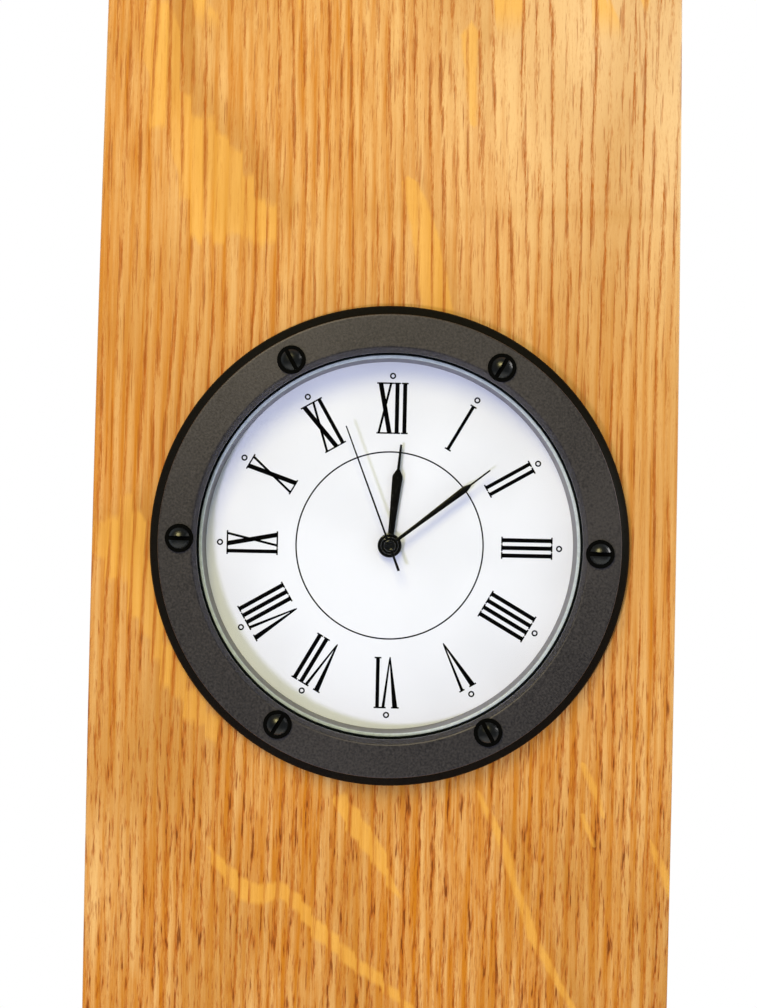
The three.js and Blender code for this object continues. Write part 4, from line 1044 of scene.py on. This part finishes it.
FLOOR_RADIUS = 0.95
FLOOR_COVER = 0.6
floor_material = bpy.data.materials.new("pale floor")
floor_material.use_nodes = True
floor_nodes = floor_material.node_tree
floor_shader = floor_nodes.nodes["Principled BSDF"]
floor_place = Shade(floor_nodes.nodes.new("ShaderNodeTexCoord").outputs["Object"])
on_floor = floor_place.scaled(1, 1, 0)
from_middle = floor_place.node("ShaderNodeVectorMath", {"operation": "LENGTH"}, {0: on_floor}, out="Value")
feed(
    floor_shader, Base_Color=(0.86, 0.86, 0.85, 1), Roughness=0.8, Specular_IOR_Level=0.1,
    Alpha=FLOOR_COVER - from_middle.rise(0.2 * FLOOR_RADIUS, 0.98 * FLOOR_RADIUS) * FLOOR_COVER,
)
floor_angle = np.linspace(0, 2 * math.pi, 97)[None, :]
floor_reach = np.linspace(0, FLOOR_RADIUS, 9)[:, None]
floor_z = cad_box[0][2]
floor_grid = np.stack(np.broadcast_arrays(
    floor_reach * np.cos(floor_angle), floor_reach * np.sin(floor_angle), floor_z,
), axis=-1)
floor = skin("floor", [(floor_grid, 0)], [floor_material])

# Each lamp is (name, place from the dial's centre in metres, size, power, tint). The side lamp is
# kept out of reflections, so that the rings stay plain.
LAMPS = [
    ("key lamp", (-0.16, -0.64, 0.42), 0.36, 3.25, (1.0, 0.88, 0.4)),
    ("side lamp", (-0.38, -0.95, -0.3), 0.14, 5.3, (0.68, 0.67, 1.0)),
    ("right lamp", (0.9, 0.25, 0.35), 0.6, 6.0, (1.0, 0.98, 0.96)),
    ("back lamp", (-0.7, 1.0, 0.7), 0.8, 9.0, (1.0, 0.98, 0.96)),
]
target = np.array([CENTRE_X, FRONT_Y, CENTRE_Z]) * MM
for name, offset, size, power, tint in LAMPS:
    lamp = bpy.data.lights.new(name, "AREA")
    lamp.shape = "DISK"
    lamp.size = size
    lamp.energy = power
    lamp.color = tint
    lamp_object = bpy.data.objects.new(name, lamp)
    x, y, z = offset
    lamp_object.location = (target + offset).tolist()
    lamp_object.rotation_euler = (math.acos(z / math.dist(offset, (0, 0, 0))), 0, math.atan2(x, -y))
    lamp_object.visible_glossy = name != "side lamp"
    bpy.context.scene.collection.objects.link(lamp_object)

# The background is white to the camera and behind the part, a dim room in front of it in
# reflections, and an even soft light on the surfaces.
WHITE = (1, 1, 1, 1)
AMBIENT = 0.56
AMBIENT_TINT = (0.84, 0.94, 1, 1)
ROOM_GLOW = 0.12
world = bpy.data.worlds.new("studio")
world.use_nodes = True
bpy.context.scene.world = world
sky = world.node_tree
sky_colour = sky.nodes["Background"]
ray = sky.nodes.new("ShaderNodeLightPath")
ray_kinds = ("Camera", "Glossy", "Transmission")
seen, mirrored, passed = (Shade(ray.outputs[f"Is {kind} Ray"]) for kind in ray_kinds)
behind = Shade(sky.nodes.new("ShaderNodeTexCoord").outputs["Generated"]).part("Y")
reflected = ROOM_GLOW + behind.rise(-0.25, 0.5) * (1 - ROOM_GLOW)
unseen = AMBIENT + (reflected - AMBIENT) * (mirrored + passed)
strength = unseen + (1 - unseen) * seen
sky.links.new(seen.blend(AMBIENT_TINT, WHITE).socket, sky_colour.inputs["Color"])
sky.links.new(strength.socket, sky_colour.inputs["Strength"])

# The photo's scale is in millimetres a pixel, and its middle lies off the dial's centre.
PIXEL = 0.1461
DISTANCE = 430.0
ROLL = math.radians(1.2)
PHOTO_HEIGHT = 1008
MIDDLE_RIGHT, MIDDLE_UP = -11.1, 41.7
aim_right, aim_up = MIDDLE_RIGHT * PIXEL, MIDDLE_UP * PIXEL
camera = bpy.data.cameras.new("camera")
camera.lens = camera.sensor_width * DISTANCE / (PHOTO_HEIGHT * PIXEL)
camera.clip_start = 0.01
camera_object = bpy.data.objects.new("camera", camera)
camera_object.location = (
    (CENTRE_X + aim_right * math.cos(ROLL) - aim_up * math.sin(ROLL)) * MM,
    (FRONT_Y - DISTANCE) * MM,
    (CENTRE_Z + aim_right * math.sin(ROLL) + aim_up * math.cos(ROLL)) * MM,
)
camera_object.rotation_euler = (math.pi / 2, -ROLL, 0)
bpy.context.scene.collection.objects.link(camera_object)
bpy.context.scene.camera = camera_object
bpy.context.scene.view_settings.view_transform = "Standard"
